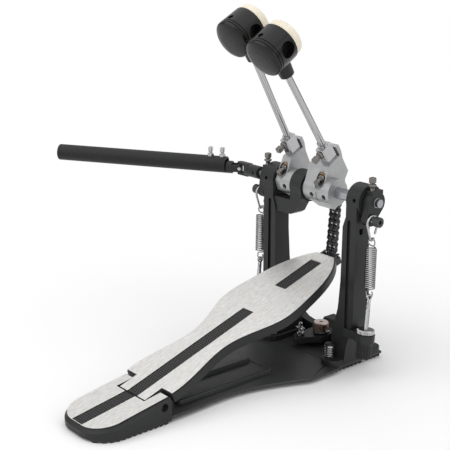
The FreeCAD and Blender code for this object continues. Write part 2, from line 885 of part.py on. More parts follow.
def heel_block():
    over_pin = heel_skin_low / cos_of(S.heel_incline)
    side_view = [
        (heel_rear_y, S.pad_height),
        (heel_front_y, S.pad_height),
        (heel_front_y, S.heel_pin_height + over_pin + S.heel_front * heel_rise),
        (heel_rear_y, S.heel_pin_height + over_pin - S.heel_length * heel_rise),
    ]
    solid = padded_x(side_view, -S.heel_half, S.heel_half)
    rear = heel_rear_y.value
    front = heel_front_y.value
    low = S.pad_height.value + OVER
    solid = rounded(solid, S.heel_corner, lambda e: runs_along(e, Z_AXIS) and e.BoundBox.YMax < rear + OVER)
    solid = bevelled(solid, S.heel_bevel, lambda e: e.BoundBox.ZMin > low and e.BoundBox.YMin < front - OVER)
    notch = box(-S.notch_half, S.notch_half, heel_pin_y - S.notch_rear, heel_front_y + OVER, 0, S.axle_height)
    bore = cylinder(S.heel_pin_radius + S.seat_gap, -S.heel_half - OVER, S.heel_half + OVER, 0,
                    heel_pin_y, S.heel_pin_height)
    left_mouth = cylinder(S.pin_hole_radius, -S.heel_half - OVER, -S.heel_pin_half, 0, heel_pin_y,
                          S.heel_pin_height)
    right_mouth = cylinder(S.pin_hole_radius, S.heel_pin_half, S.heel_half + OVER, 0, heel_pin_y,
                           S.heel_pin_height)
    return cut(solid, notch, bore, left_mouth, right_mouth)


def heel_plate():
    half = S.heel_half - heel_inset
    front = S.heel_front - S.skin_front_inset
    plan = [
        (-half, heel_skin_rear), (half, heel_skin_rear), (half, front), (S.notch_half, front),
        (S.notch_half, -S.notch_rear), (-S.notch_half, -S.notch_rear), (-S.notch_half, front), (-half, front),
    ]
    solid = padded_z(plan, heel_skin_low, heel_skin_top)
    rear = heel_skin_rear.value
    solid = rounded(solid, S.heel_corner - heel_inset,
                    lambda e: runs_along(e, Z_AXIS) and e.BoundBox.YMax < rear + OVER)
    slot = box(-S.strip_half, S.strip_half, heel_strip_rear, 0, 0, heel_skin_top + OVER)
    return seat(cut(solid, slot), HEEL)


node("heel_block", heel_block())
node("heel_plate", heel_plate())
node("heel_grip", box(-S.strip_half + S.seat_gap, S.strip_half - S.seat_gap, heel_strip_rear + S.seat_gap,
                      -S.notch_rear, heel_skin_low, heel_skin_top - S.strip_sink, HEEL))
heel_pin = cylinder(S.heel_pin_radius, -S.heel_pin_half, S.heel_pin_half, 0, heel_pin_y, S.heel_pin_height)
lever_pin = cylinder(S.pivot_radius, -S.pivot_left, S.pivot_right, 0, S.pivot_forward, S.pivot_height)
node("hinge_pins", group(heel_pin, lever_pin))


# Footboard
def board_face(inset):
    points = numbers("board")
    inner = [(along, half - inset) for along, half in points]
    inner[0] = (inner[0][0] + inset, inner[0][1])
    inner[-1] = (inner[-1][0] - inset, inner[-1][1])
    return smooth_face(inner)


board_skin_low = S.foot_top_over_pin - S.skin_thickness


def footboard_body():
    low = -S.foot_bottom_under_pin.value
    high = board_skin_low.value
    half = S.tongue_half.value
    casting = board_face(0.0)
    casting.translate(Vector(0, 0, low))
    solid = casting.extrude(Vector(0, 0, high - low))
    tongue = block_shape(-half, half, -S.tongue_rear.value, S.tongue_front.value, low, high)
    radius = S.barrel_radius.value
    barrel = rod_shape(radius, -half, half)
    barrel = barrel.cut(block_shape(-half, half, -radius, radius, high, high + radius))
    solid = solid.fuse([tongue, barrel]).removeSplitter()
    bore = rod_shape(S.bush_radius.value + S.seat_gap.value, -half - OVER, half + OVER)
    return solid.cut(bore)


def footboard_plate():
    low = board_skin_low.value
    top = S.foot_top_over_pin.value
    strip = S.strip_half.value
    inset = S.skin_inset.value
    half = S.tongue_half.value - inset
    rear = -S.tongue_rear.value + inset
    skin = board_face(inset)
    skin.translate(Vector(0, 0, low))
    solid = skin.extrude(Vector(0, 0, top - low))
    solid = solid.fuse(block_shape(-half, half, rear, S.tongue_front.value, low, top)).removeSplitter()
    rear_slot = block_shape(-strip, strip, rear - OVER, S.strip_break_start.value, low - OVER, top + OVER)
    front_slot = block_shape(-strip, strip, S.strip_break_end.value, S.insert_end.value, low - OVER,
                             top + OVER)
    return solid.cut(Part.makeCompound([rear_slot, front_slot]))


def grip_strip(start, end):
    half = S.strip_half - S.seat_gap
    return box(-half, half, start, end, board_skin_low, S.foot_top_over_pin - S.strip_sink, BOARD)


node("footboard_body", seated_shape(footboard_body(), BOARD))
node("footboard_plate", seated_shape(footboard_plate(), BOARD))
node("grip_strips", group(grip_strip(-S.tongue_rear + S.skin_inset, S.strip_break_start - S.seat_gap),
                          grip_strip(S.strip_break_end + S.seat_gap, S.insert_start - S.seat_gap)))
node("toe_insert", box(-S.strip_half + S.seat_gap, S.strip_half - S.seat_gap, S.insert_start,
                       S.insert_end - S.seat_gap, board_skin_low, S.foot_top_over_pin, BOARD))


def hinge_bush(sign):
    inner, outer = ordered(sign * (S.tongue_half - S.bush_length), sign * S.tongue_half)
    ring = cylinder(S.bush_radius, inner, outer, 0, heel_pin_y, S.heel_pin_height)
    bore = cylinder(S.heel_pin_radius + S.running_gap, inner - OVER, outer + OVER, 0, heel_pin_y,
                    S.heel_pin_height)
    return cut(ring, bore)


def chain_clip():
    low = -S.foot_bottom_under_pin - S.clip_thickness
    plate = box(-S.clip_half, S.clip_half, S.clip_start, S.clip_end, low, -S.foot_bottom_under_pin)
    pieces = [plate]
    slots = []
    for sign in (-1, 1):
        x0, x1 = ordered(sign * (S.clip_half - S.clip_wall), sign * S.clip_half)
        pieces.append(box(x0, x1, S.ear_start, S.ear_end, low, S.ear_top))
        slots.append(cylinder(S.slot_half, x0 - OVER, x1 + OVER, 0, S.toe_pin_along, S.toe_pin_over))
        slots.append(box(x0 - OVER, x1 + OVER, S.toe_pin_along, S.ear_end + OVER,
                         S.toe_pin_over - S.slot_half,
                         S.toe_pin_over + S.slot_half))
    solid = fuse(*pieces)
    ear_top = S.ear_top.value
    solid = rounded(solid, S.ear_round, lambda e: runs_along(e, X_AXIS) and e.BoundBox.ZMin > ear_top - NEAR)
    return seat(cut(solid, fuse(*slots)), BOARD)


node("hinge_bushes", group(hinge_bush(1), hinge_bush(-1)))
node("chain_clip", chain_clip())


# Posts
def mirrored(points, sign):
    return [(sign * across, up) for across, up in points]


def post(sign):
    back_corners = outline("post_inner") + below_axle("post_head") + outline("post_outer")
    side_corners = outline("side_rear") + below_axle("side_head") + outline("side_front")
    back_view = padded_y(mirrored(back_corners, sign), -S.foot_rear, S.foot_front)
    x0, x1 = ordered(sign * S.foot_inner, sign * S.head_outer)
    side_view = padded_x(side_corners, x0 - OVER, x1 + OVER)
    column = common(back_view, side_view)
    head_x0, head_x1 = ordered(sign * S.head_inner, sign * S.head_outer)
    head = cylinder(S.head_radius, head_x0, head_x1, 0, 0, S.axle_height)
    foot_x0, foot_x1 = ordered(sign * S.foot_inner, sign * S.foot_outer)
    slab = box(foot_x0, foot_x1, -S.foot_rear, S.foot_front, plate_top, foot_top)
    slab = rounded(slab, S.foot_corner, lambda e: runs_along(e, Z_AXIS))
    top = foot_top.value
    slab = rounded(slab, S.foot_round, lambda e: e.BoundBox.ZMin > top - NEAR)
    lug = cylinder(S.lug_radius, -lug_half, lug_half, sign * S.spring_side, 0, 0, "Z")
    web_x0, web_x1 = ordered(sign * S.foot_outer, sign * S.spring_side)
    web = box(web_x0, web_x1, -S.web_rear, S.lug_radius, -lug_half, lug_half)
    solid = fuse(column, head, slab, seat(fuse(lug, web), ROD))
    seat_x0, seat_x1 = ordered(sign * S.bearing_seat, sign * (S.head_outer + OVER))
    bearing_bore = cylinder(S.bearing_radius + S.seat_gap, seat_x0, seat_x1, 0, 0, S.axle_height)
    through_x0, through_x1 = ordered(sign * (S.head_inner - OVER), sign * (S.bearing_seat + OVER))
    through = cylinder(S.axle_clearance, through_x0, through_x1, 0, 0, S.axle_height)
    channel_x0, channel_x1 = ordered(sign * S.channel_inner, sign * (S.channel_inner + S.channel_width))
    channel_top = S.axle_height - S.channel_drop
    channel = box(channel_x0, channel_x1, -S.post_rear - OVER, -S.post_rear + S.channel_depth,
                  S.channel_low, channel_top)
    channel_end = cylinder(S.channel_width / 2, -S.post_rear - OVER, -S.post_rear + S.channel_depth,
                           sign * (S.channel_inner + S.channel_width / 2), 0, channel_top, "Y")
    hole_x0, hole_x1 = ordered(sign * (S.head_outer - S.side_hole_depth), sign * (S.head_outer + OVER))
    side_hole_z = S.axle_height - S.side_hole_drop
    side_hole = cylinder(S.side_hole_radius, hole_x0, hole_x1, 0, -S.side_hole_rear, side_hole_z)
    side_slot = box(hole_x0, hole_x1, -S.side_hole_rear - S.side_hole_radius,
                    -S.side_hole_rear + S.side_hole_radius,
                    side_hole_z, side_hole_z + S.side_slot_rise)
    rod_hole = cylinder(S.spring_rod_radius + S.seat_gap, -S.lug_thickness, S.lug_thickness,
                        sign * S.spring_side, 0, 0, "Z")
    rod_hole = seat(group(rod_hole), ROD)
    spur_hole = cylinder(S.spur_radius + S.running_gap, plate_top - OVER, foot_top + OVER,
                         sign * S.spur_side, -S.spur_rear, 0, "Z")
    grub_hole = cylinder(S.grub_radius, -S.head_radius - OVER, -S.bearing_radius + S.grub_radius,
                         sign * (S.bearing_seat + S.grub_inset), 0, S.axle_height + S.grub_radius, "Y")
    return cut(solid, bearing_bore, through, fuse(channel, channel_end), fuse(side_hole, side_slot),
               rod_hole, spur_hole, grub_hole)


node("right_post", post(1))
node("left_post", post(-1))


# Centre support, bridge and bearings
def centre_support():
    arm = padded_y(below_axle("arm"), -S.arm_rear, S.arm_front)
    low = S.axle_height.value - S.arm_round_drop.value
    arm = rounded(arm, S.arm_round, lambda e: runs_along(e, Y_AXIS) and e.BoundBox.ZMax < low)
    ring = cylinder(S.support_radius, -S.support_left, -S.support_right, 0, 0, S.axle_height)
    bore = cylinder(S.bearing_radius + S.seat_gap, -S.support_left - OVER, -S.support_right + OVER, 0, 0,
                    S.axle_height)
    return cut(fuse(arm, ring), bore, NODES["left_post"])


def front_bridge():
    web = padded_y(outline("bridge"), S.bridge_rear, S.bridge_front)
    hole = cylinder(S.pivot_radius + S.seat_gap, -S.pivot_left, S.pivot_right, 0, S.pivot_forward,
                    S.pivot_height)
    return cut(web, hole, NODES["left_post"], NODES["right_post"])


def bearing(start):
    ring = cylinder(S.bearing_radius, start, start + S.bearing_width, 0, 0, S.axle_height)
    bore = cylinder(S.journal_radius + S.running_gap, start - OVER, start + S.bearing_width + OVER, 0, 0,
                    S.axle_height)
    return cut(ring, bore)


node("centre_support", centre_support())
node("front_bridge", front_bridge())
node("axle_bearings", group(bearing(S.bearing_seat), bearing(-S.bearing_seat - S.bearing_width),
                            bearing(-S.support_right - S.bearing_width - S.bearing_inset),
                            bearing(-S.support_left + S.bearing_inset)))


# Axles
def axle(sign, hex_inner, journal_inner, far_radius, far_end):
    hex_x0, hex_x1 = ordered(hex_inner, sign * S.hex_end)
    inner_x0, inner_x1 = ordered(journal_inner, hex_inner)
    outer_x0, outer_x1 = ordered(sign * S.hex_end, sign * S.rocker_end)
    far_x0, far_x1 = ordered(sign * S.rocker_end, sign * far_end)
    return fuse(
        hexagon(S.hex_flats, hex_x0, hex_x1, 0, S.axle_height),
        cylinder(S.journal_radius, inner_x0, inner_x1, 0, 0, S.axle_height),
        cylinder(S.journal_radius, outer_x0, outer_x1, 0, 0, S.axle_height),
        cylinder(far_radius, far_x0, far_x1, 0, 0, S.axle_height))


node("main_axle", axle(1, -S.support_right + S.hex_gap, -S.support_right - S.bearing_width - S.journal_over,
                       S.stub_radius, S.axle_end))
node("slave_axle", axle(-1, -S.support_left - S.hex_gap, -S.support_left + S.bearing_width + S.journal_over,
                        S.stub_radius, S.slave_end))


# Hubs with their clamps and key screws
def hub_solid(frame, shift, with_cam):
    rod_x = shift + S.rod_side
    key_x = rod_x + S.key_side
    if with_cam:
        block_x0, block_x1 = -S.hub_left_face, S.hub_right_face
        collar_x0, collar_x1 = -S.hub_left_face, S.collar_end
        grub_places = (collar_x0 + S.collar_hole_left, collar_x1 - S.collar_hole_right)
        hole_start = -S.lip_half
    else:
        block_x0, block_x1 = shift + S.left_block_start, shift + S.hub_right_face
        collar_x0, collar_x1 = shift + S.left_collar_start, shift + S.left_collar_end
        grub_places = (collar_x0 + S.collar_hole_right,)
        hole_start = block_x0
    pieces = [padded_x(outline("block"), block_x0, block_x1)]
    pieces.append(cylinder(S.collar_radius, collar_x0, collar_x1))
    pieces.append(cylinder(S.washer_radius + S.seat_wall, S.lower_seat, S.key_boss_end, key_x, 0,
                           S.lower_key_rise, "Y"))
    if with_cam:
        scale = S.pitch_radius / S.lip_pitch_radius
        lip = [(scale * forward, scale * up) for forward, up in outline("lip")]
        pieces.append(padded_x(lip, -S.lip_half, S.lip_half))
        pieces.append(cylinder(track_radius, -S.hub_left_face, S.hub_left_face, sweep=track_sweep))
    tools = [
        cylinder(S.rod_radius + S.running_gap, S.rod_foot - S.clear_gap, S.clamp_floor + OVER,
                 rod_x, S.rod_forward, 0, "Z"),
        cylinder(S.key_radius + S.seat_gap, S.lower_seat - OVER, S.key_hole_end, key_x, 0,
                 S.lower_key_rise, "Y"),
        cylinder(S.washer_radius + S.clear_gap, -S.collar_radius - S.washer_cut_reach, S.lower_seat,
                 key_x, 0, S.lower_key_rise, "Y"),
    ]
    for hole_x in grub_places:
        hole_end = -S.collar_radius + S.collar_hole_depth
        tools.append(cylinder(S.collar_hole_radius, -S.collar_radius - OVER, hole_end,
                              hole_x, 0, S.collar_hole_rise, "Y"))
    if with_cam:
        wide = cylinder(track_radius + S.track_cut, -S.track_half, S.track_half, sweep=track_sweep)
        narrow = cylinder(track_radius, -S.track_half, S.track_half)
        tools.append(cut(wide, narrow))
        ring = cylinder(S.collar_radius + S.split_reach, S.split_side, S.split_side + S.split_width)
        core = cylinder(S.collar_radius - S.split_depth, S.split_side, S.split_side + S.split_width)
        behind = box(0, S.collar_end, -S.split_rear, -S.split_front, -S.split_rear, S.split_top)
        tools.append(common(cut(ring, core), behind))
        tools.append(cylinder(S.chain_pin_radius + S.seat_gap, -S.hub_left_face, S.hub_left_face, 0,
                              S.pitch_radius * math.cos(CHAIN_END), S.pitch_radius * math.sin(CHAIN_END)))
    turned = seat(cut(fuse(*pieces), *tools), frame)
    hole = hexagon(S.hex_flats + 2 * S.seat_gap, hole_start - OVER, collar_x1 + OVER, 0, S.axle_height)
    return cut(turned, hole)


def rod_clamp(frame, shift):
    x = shift + S.rod_side
    top = S.clamp_floor + S.clamp_rise
    block = box(x - S.clamp_half, x + S.clamp_half, S.clamp_rear, S.clamp_front, S.clamp_floor, top)
    block = bevelled(block, S.clamp_bevel, lambda e: runs_along(e, Z_AXIS))
    ring = cylinder(S.clamp_ring_radius, top, top + S.clamp_ring_rise, x, S.rod_forward, 0, "Z")
    rod_hole = cylinder(S.rod_radius + S.running_gap, S.clamp_floor - OVER, top + S.clamp_ring_rise + OVER,
                        x, S.rod_forward, 0, "Z")
    key_hole = cylinder(S.key_radius + S.seat_gap, S.clamp_rear - OVER, S.rod_forward, x, 0,
                        S.upper_key_rise, "Y")
    return seat(cut(fuse(block, ring), rod_hole, key_hole), frame)


def key_screw(x, rise, tip, face, frame):
    """A drum key screw that points back along its frame: shank, round collar and square head."""
    half = S.key_head / 2
    shank = cylinder(S.key_radius, face - S.key_shank_start, tip, x, 0, rise, "Y")
    collar = cylinder(S.key_collar, face - S.key_collar_height, face, x, 0, rise, "Y")
    head = box(x - half, x + half, face - S.key_reach, face - S.key_neck, rise - half, rise + half)
    return seat(fuse(shank, collar, head), frame)


def spring_washer(x, frame):
    face = S.lower_seat
    ring = cylinder(S.washer_radius, face - S.washer_thickness, face, x, 0, S.lower_key_rise, "Y")
    hole = cylinder(S.key_radius + S.seat_gap, face - S.washer_thickness - OVER, face + OVER, x, 0,
                    S.lower_key_rise, "Y")
    return seat(cut(ring, hole), frame)


def rocker_screw(sign):
    x = sign * (S.rocker_start + S.rocker_end) / 2
    y = -S.rocker_key_rear
    half = S.key_head / 2
    low = S.axle_height + S.rocker_radius - S.rocker_screw_sink
    top = S.axle_height + S.rocker_key_rise
    shank = cylinder(S.key_radius, low, top - S.key_neck, x, y, 0, "Z")
    collar = cylinder(S.key_collar, top - S.rocker_collar_low, top - S.rocker_collar_high, x, y, 0, "Z")
    head = box(x - half, x + half, y - half, y + half, top - S.screw_head_height, top)
    return fuse(shank, collar, head)


for name, sign, frame, shift in SIDES:
    rod_x = shift + S.rod_side
    node(name + "_hub", hub_solid(frame, shift, sign > 0))
    node(name + "_rod_clamp", rod_clamp(frame, shift))
    upper = key_screw(rod_x, S.upper_key_rise, S.rod_forward - S.rod_radius - S.key_tip_gap, S.clamp_rear,
                      frame)
    key_x = rod_x + S.key_side
    lower = key_screw(key_x, S.lower_key_rise, S.lower_key_tip, S.lower_seat - S.washer_thickness, frame)
    node(name + "_key_screws", group(upper, lower, spring_washer(key_x, frame), rocker_screw(sign)))


# Rockers and spring bolts
def rocker(sign):
    x0, x1 = ordered(sign * S.rocker_start, sign * S.rocker_end)
    lean = Frame(0, S.axle_height, FULL_TURN - S.rocker_back)
    disc = cylinder(S.rocker_radius, x0, x1)
    arm = padded_x(outline("rocker"), x0, x1)
    tip = cylinder(S.rocker_tip, x0, x1, 0, 0, -S.rocker_arm)
    bolt_hole = cylinder(S.bolt_shank + S.seat_gap, x0 - OVER, x1 + OVER, 0, 0, -S.rocker_arm)
    turned = seat(cut(fuse(disc, arm, tip), bolt_hole), lean)
    lug_top = S.axle_height + S.rocker_lug_rise
    lug = box(x0, x1, -S.rocker_lug_rear, S.rocker_lug_front, S.axle_height, lug_top)
    bore = cylinder(S.journal_radius + S.seat_gap, x0 - OVER, x1 + OVER, 0, 0, S.axle_height)
    screw_low = S.axle_height + S.rocker_radius - S.rocker_screw_sink - S.screw_tip_gap
    screw_hole = cylinder(S.key_radius + S.seat_gap, screw_low, lug_top + OVER,
                          sign * (S.rocker_start + S.rocker_end) / 2, -S.rocker_key_rear, 0, "Z")
    return cut(fuse(turned, lug), bore, screw_hole)


bolt_y = -S.rocker_arm * sin_of(S.rocker_back)
bolt_z = S.axle_height - S.rocker_arm * cos_of(S.rocker_back)


def spring_bolt(sign):
    shank_x0, shank_x1 = ordered(sign * (S.rocker_start + S.bolt_tip_inset), sign * S.rocker_end)
    sleeve_x0, sleeve_x1 = ordered(sign * S.rocker_end, sign * S.sleeve_end)
    head_x0, head_x1 = ordered(sign * S.sleeve_end, sign * S.bolt_end)
    socket_x0, socket_x1 = ordered(sign * (S.bolt_end - S.socket_depth), sign * (S.bolt_end + OVER))
    shank = cylinder(S.bolt_shank, shank_x0, shank_x1, 0, bolt_y, bolt_z)
    sleeve = cylinder(S.roller_sleeve, sleeve_x0, sleeve_x1, 0, bolt_y, bolt_z)
    head = cylinder(S.bolt_head, head_x0, head_x1, 0, bolt_y, bolt_z)
    socket = hexagon(S.socket_flats, socket_x0, socket_x1, bolt_y, bolt_z)
    return cut(fuse(shank, sleeve, head), socket)


for name, sign, frame, shift in SIDES:
    node(name + "_rocker", rocker(sign))
    node(name + "_spring_bolt", spring_bolt(sign))


# Beaters
def beater_head(frame, shift, reach):
    x = shift + S.rod_side
    y, z = frame.point(S.rod_forward, reach)
    body = revolved(outline("head"))
    neck = DOC.addObject("Part::Cone", "cone")
    bind(neck, Radius1=S.boss_radius, Radius2=S.boss_radius + S.boss_flare,
         Height=S.boss_drop - S.boss_overlap)
    place(neck, 0, 0, -S.boss_drop)
    rod_hole = cylinder(S.rod_radius + S.seat_gap, -S.boss_drop - OVER, -S.rod_hole_end, along="Z")
    right_eye = cylinder(S.eye_radius, S.beater_radius - S.eye_depth, S.beater_radius + OVER)
    left_eye = cylinder(S.eye_radius, -S.beater_radius - OVER, -S.beater_radius + S.eye_depth)
    set_hole = cylinder(S.set_hole_radius, S.beater_radius - S.set_hole_depth, S.beater_radius + OVER,
                        0, -S.set_hole_back, 0, "Z")
    solid = cut(fuse(body, neck), rod_hole, right_eye, left_eye, set_hole)
    return place(solid, x, y, z, X_AXIS, frame.angle)


def beater_felt(frame, shift, reach):
    y, z = frame.point(S.rod_forward, reach)
    return place(revolved(outline("felt")), shift + S.rod_side, y, z, X_AXIS, frame.angle)


def beater_rod(frame, shift, reach):
    y, z = frame.point(S.rod_forward, S.rod_foot)
    obj = DOC.addObject("Part::Cylinder", "rod")
    bind(obj, Radius=S.rod_radius, Height=reach - S.rod_top_gap - S.rod_foot)
    return place(obj, shift + S.rod_side, y, z, X_AXIS, frame.angle)


for name, sign, frame, shift in SIDES:
    reach = S.right_beater_reach if sign > 0 else S.left_beater_reach
    node(name + "_beater_rod", beater_rod(frame, shift, reach))
    node(name + "_beater_head", beater_head(frame, shift, reach))
    node(name + "_beater_felt", beater_felt(frame, shift, reach))


# Chain, two strands side by side
def link_plate(x0, x1, bore):
    """One side plate of a link, lying along Y from its first pin at the origin."""
    pitch = LINK_PITCH
    end = S.link_end_radius.value
    waist = S.link_waist.value
    solid = rod_shape(end, x0,
                      x1).fuse([rod_shape(end, x0, x1, pitch), block_shape(x0, x1, 0, pitch, -waist, waist)])
    solid = solid.removeSplitter()
    if bore > 0:
        solid = solid.cut(rod_shape(bore, x0 - OVER, x1 + OVER))
        solid = solid.cut(rod_shape(bore, x0 - OVER, x1 + OVER, pitch))
    return solid


def inner_link():
    """Two separate strands, each with two plates joined by its rollers."""
    pitch = LINK_PITCH
    bore = S.chain_pin_radius.value + S.running_gap.value
    half = S.roller_half.value
    thick = S.link_plate.value
    strands = []
    for sign in (-1, 1):
        x = sign * S.strand_side.value
        pieces = [link_plate(x - half - thick, x - half, bore), link_plate(x + half, x + half + thick, bore)]
        for along in (0.0, pitch):
            roller = rod_shape(S.roller_radius.value, x - half, x + half, along)
            pieces.append(roller.cut(rod_shape(bore, x - half - OVER, x + half + OVER, along)))
        strands.append(pieces[0].fuse(pieces[1:]).removeSplitter())
    return strands


def outer_link():
    """Two side plates and a middle plate on two pins that cross both strands."""
    pitch = LINK_PITCH
    thick = S.link_plate.value
    side = S.strand_side.value + S.roller_half.value + thick + S.plate_gap.value
    middle = S.strand_side.value - S.roller_half.value - thick - S.plate_gap.value
    pieces = [link_plate(side, side + thick, 0), link_plate(-side - thick, -side, 0),
              link_plate(-middle, middle, 0)]
    half = S.chain_pin_half.value
    pins = [rod_shape(S.chain_pin_radius.value, -half, half, along) for along in (0.0, pitch)]
    return [pieces[0].fuse(pieces[1:] + pins).removeSplitter()]


LINKS = (inner_link(), outer_link())


def pin_spots():
    """Pin centres from the toe up the straight run and on round the cam, forward and up."""
    spots = []
    for k in range(RUN_LINKS):
        along = k * LINK_PITCH
        spots.append((toe_y - along * math.sin(CHAIN_START), toe_z + along * math.cos(CHAIN_START)))
    for k in range(CAM_LINKS + 1):
        angle = CHAIN_START + k * CAM_STEP
        spots.append((cam_radius * math.cos(angle), S.axle_height.value + cam_radius * math.sin(angle)))
    return spots


PINS = pin_spots()


def chain_link(number):
    """The solids of one link between two pins. Even links are inner links."""
    y, z = PINS[number]
    to_y, to_z = PINS[number + 1]
    turn = math.degrees(math.atan2(to_z - z, to_y - y))
    spot = FreeCAD.Placement(Vector(0, y, z), FreeCAD.Rotation(X_AXIS, turn))
    solids = []
    for solid in LINKS[number % 2]:
        moved = solid.copy()
        moved.Placement = spot
        solids.append(moved)
    return solids


def chain_run():
    solids = []
    for number in range(RUN_LINKS):
        solids += chain_link(number)
    half = S.end_pin_half.value
    solids.append(rod_shape(S.chain_pin_radius.value, -half, half, *PINS[0]))
    return Part.makeCompound(solids)


def chain_anchor():
    """The link that stays on the cam, and the pin that holds its end in the cam's cheeks."""
    half = S.hub_left_face.value - S.anchor_pin_inset.value
    pin = rod_shape(S.chain_pin_radius.value, -half, half, *PINS[-1])
    return Part.makeCompound(chain_link(RUN_LINKS + CAM_LINKS - 1) + [pin])


node("chain_run", shaped(chain_run()))
for number in range(1, CAM_LINKS):
    link = chain_link(RUN_LINKS + CAM_LINKS - 1 - number)
    node("chain_link_%d" % number, shaped(Part.makeCompound(link)))
node("chain_anchor", shaped(chain_anchor()))


# Springs
THUMB_RIBS = 16
HOOK_DIRECTION = Vector(-1.0, -0.12, 0.35)
HOOK_ANGLES = (205, 140, 80, 20, -35)
STIRRUP_HOOK_END = 345
STIRRUP_LEG_START = 0.36


def biarc(p0, t0, p1, t1):
    """Two arcs that join two points with given directions."""
    v = p1 - p0
    t = t0 + t1
    spread = 2 * (1 - t0.dot(t1))
    if spread < 1e-9:
        d = v.dot(v) / (4 * v.dot(t1))
    else:
        d = (-v.dot(t) + math.sqrt(v.dot(t) ** 2 + spread * v.dot(v))) / spread
    joint = (p0 + t0 * d + p1 - t1 * d) * 0.5
    return [arc_from(p0, t0, joint), arc_from(p1, t1 * -1, joint, True)]


def arc_from(start, direction, end, backwards=False):
    chord = end - start
    length = chord.Length
    along = chord * (1 / length)
    side = direction - along * direction.dot(along)
    if side.Length < 1e-7:
        return Part.LineSegment(end, start).toShape() if backwards else Part.LineSegment(start, end).toShape()
    side.normalize()
    angle = math.acos(max(-1.0, min(1.0, direction.dot(along))))
    middle = start + chord * 0.5 + side * (length / 2 * math.tan(angle / 2))
    if backwards:
        return Part.Arc(end, middle, start).toShape()
    return Part.Arc(start, middle, end).toShape()


def wire_through(stations):
    edges = []
    for (p0, t0), (p1, t1) in zip(stations, stations[1:]):
        edges += biarc(p0, t0, p1, t1)
    return Part.Wire(edges)


def tube_along(wire, direction, radius):
    """One unbroken round wire along a path."""
    start = wire.Edges[0].Vertexes[0].Point
    section = Part.Wire([Part.Circle(start, direction, radius).toShape()])
    shell = Part.BRepOffsetAPI.MakePipeShell(wire)
    shell.add(section)
    shell.build()
    shell.makeSolid()
    return shell.shape()


def self_gap(wire, radius):
    """Least open space between two stretches of one wire, measured on points along it."""
    step = radius * 0.5
    points = wire.discretize(Number=max(60, int(wire.Length / step)))
    spacing = wire.Length / (len(points) - 1)
    skip = int(4 * radius / spacing) + 1
    least = 1e9
    for i, a in enumerate(points):
        for b in points[i + skip:]:
            if abs(a.x - b.x) < least and abs(a.y - b.y) < least and abs(a.z - b.z) < least:
                least = min(least, (a - b).Length)
    return least - 2 * radius


def helix_stations(radius, pitch, turns, base):
    """Points and directions every quarter turn of a coil about Z."""
    stations = []
    climb = pitch / (2 * math.pi)
    for k in range(int(round(turns * 4)) + 1):
        angle = k * math.pi / 2
        point = Vector(radius * math.cos(angle), radius * math.sin(angle), base + climb * angle)
        direction = Vector(-radius * math.sin(angle), radius * math.cos(angle), climb)
        stations.append((point, direction.normalize()))
    return stations


SPRING_LEAN = math.degrees(math.atan2(bolt_y.value - eye_y.value, bolt_z.value - eye_z.value))
SPRING_LENGTH = math.hypot(bolt_y.value - eye_y.value, bolt_z.value - eye_z.value)


def spring_levels():
    """Heights along the spring above its lower eye: coil start, coil end and upper loop's centre."""
    loop = S.loop_radius.value
    start = 2 * loop + S.loop_clear.value
    end = SPRING_LENGTH - S.stirrup_drop.value
    return start, end, end + S.loop_clear.value + loop


def loop_stations(end, centre):
    """The upper hook: in from the coil to the axis, then round a loop in the plane of X and the axis."""
    r = S.loop_radius.value
    start = Vector(S.hook_in.value, S.hook_lead.value, end + S.hook_rise.value)
    stations = [(start, HOOK_DIRECTION)]
    for degrees in HOOK_ANGLES:
        angle = math.radians(degrees)
        point = Vector(r * math.cos(angle), 0, centre + r * math.sin(angle))
        stations.append((point, Vector(math.sin(angle), 0, -math.cos(angle))))
    return [(point, direction.normalize()) for point, direction in stations]


def spring_wire():
    start, end, centre = spring_levels()
    turns = round((end - start) / S.coil_pitch.value)
    coil = helix_stations(S.coil_radius.value, (end - start) / turns, turns, start)
    upper = loop_stations(end, centre)
    middle = (start + end) / 2
    lower = []
    for point, direction in reversed(upper):
        turned = Vector(point.x, -point.y, 2 * middle - point.z)
        lower.append((turned, Vector(-direction.x, direction.y, direction.z)))
    return wire_through(lower + coil + upper), lower[0][1]


def stirrup_wire():
    """A teardrop loop: hook round the spring's upper loop, straight legs and a round top over the bolt."""
    loop_top = spring_levels()[2] + S.loop_radius.value
    hook = S.stirrup_hook.value
    top = S.stirrup_radius.value
    low = loop_top - S.wire_radius.value - S.stirrup_wire.value - S.hook_slack.value + hook
    high = SPRING_LENGTH - (top - S.stirrup_wire.value - S.roller_sleeve.value - S.hook_slack.value)
    slope = math.asin((top - hook) / (high - low))

    def on_circle(radius, height, degrees):
        angle = math.radians(degrees)
        return Vector(0, radius * math.cos(angle), height + radius * math.sin(angle))

    tilt = math.degrees(slope)
    right_top = on_circle(top, high, -tilt)
    left_top = on_circle(top, high, 180 + tilt)
    left_low = on_circle(hook, low, 180 + tilt)
    right_low = on_circle(hook, low, -tilt)
    leg_start = right_low + (right_top - right_low) * STIRRUP_LEG_START
    edges = [
        Part.LineSegment(leg_start, right_top).toShape(),
        Part.Arc(right_top, on_circle(top, high, 90), left_top).toShape(),
        Part.LineSegment(left_top, left_low).toShape(),
        Part.Arc(left_low, on_circle(hook, low, 270), on_circle(hook, low, STIRRUP_HOOK_END)).toShape(),
    ]
    return Part.Wire(edges), (right_top - leg_start).normalize()


SPRING_PATH, spring_direction = spring_wire()
STIRRUP_PATH, stirrup_direction = stirrup_wire()
SPRING_SHAPE = tube_along(SPRING_PATH, spring_direction, S.wire_radius.value)
STIRRUP_SHAPE = tube_along(STIRRUP_PATH, stirrup_direction, S.stirrup_wire.value)
print("spring least gap %.3f mm" % self_gap(SPRING_PATH, S.wire_radius.value))
print("stirrup least gap %.3f mm" % self_gap(STIRRUP_PATH, S.stirrup_wire.value))


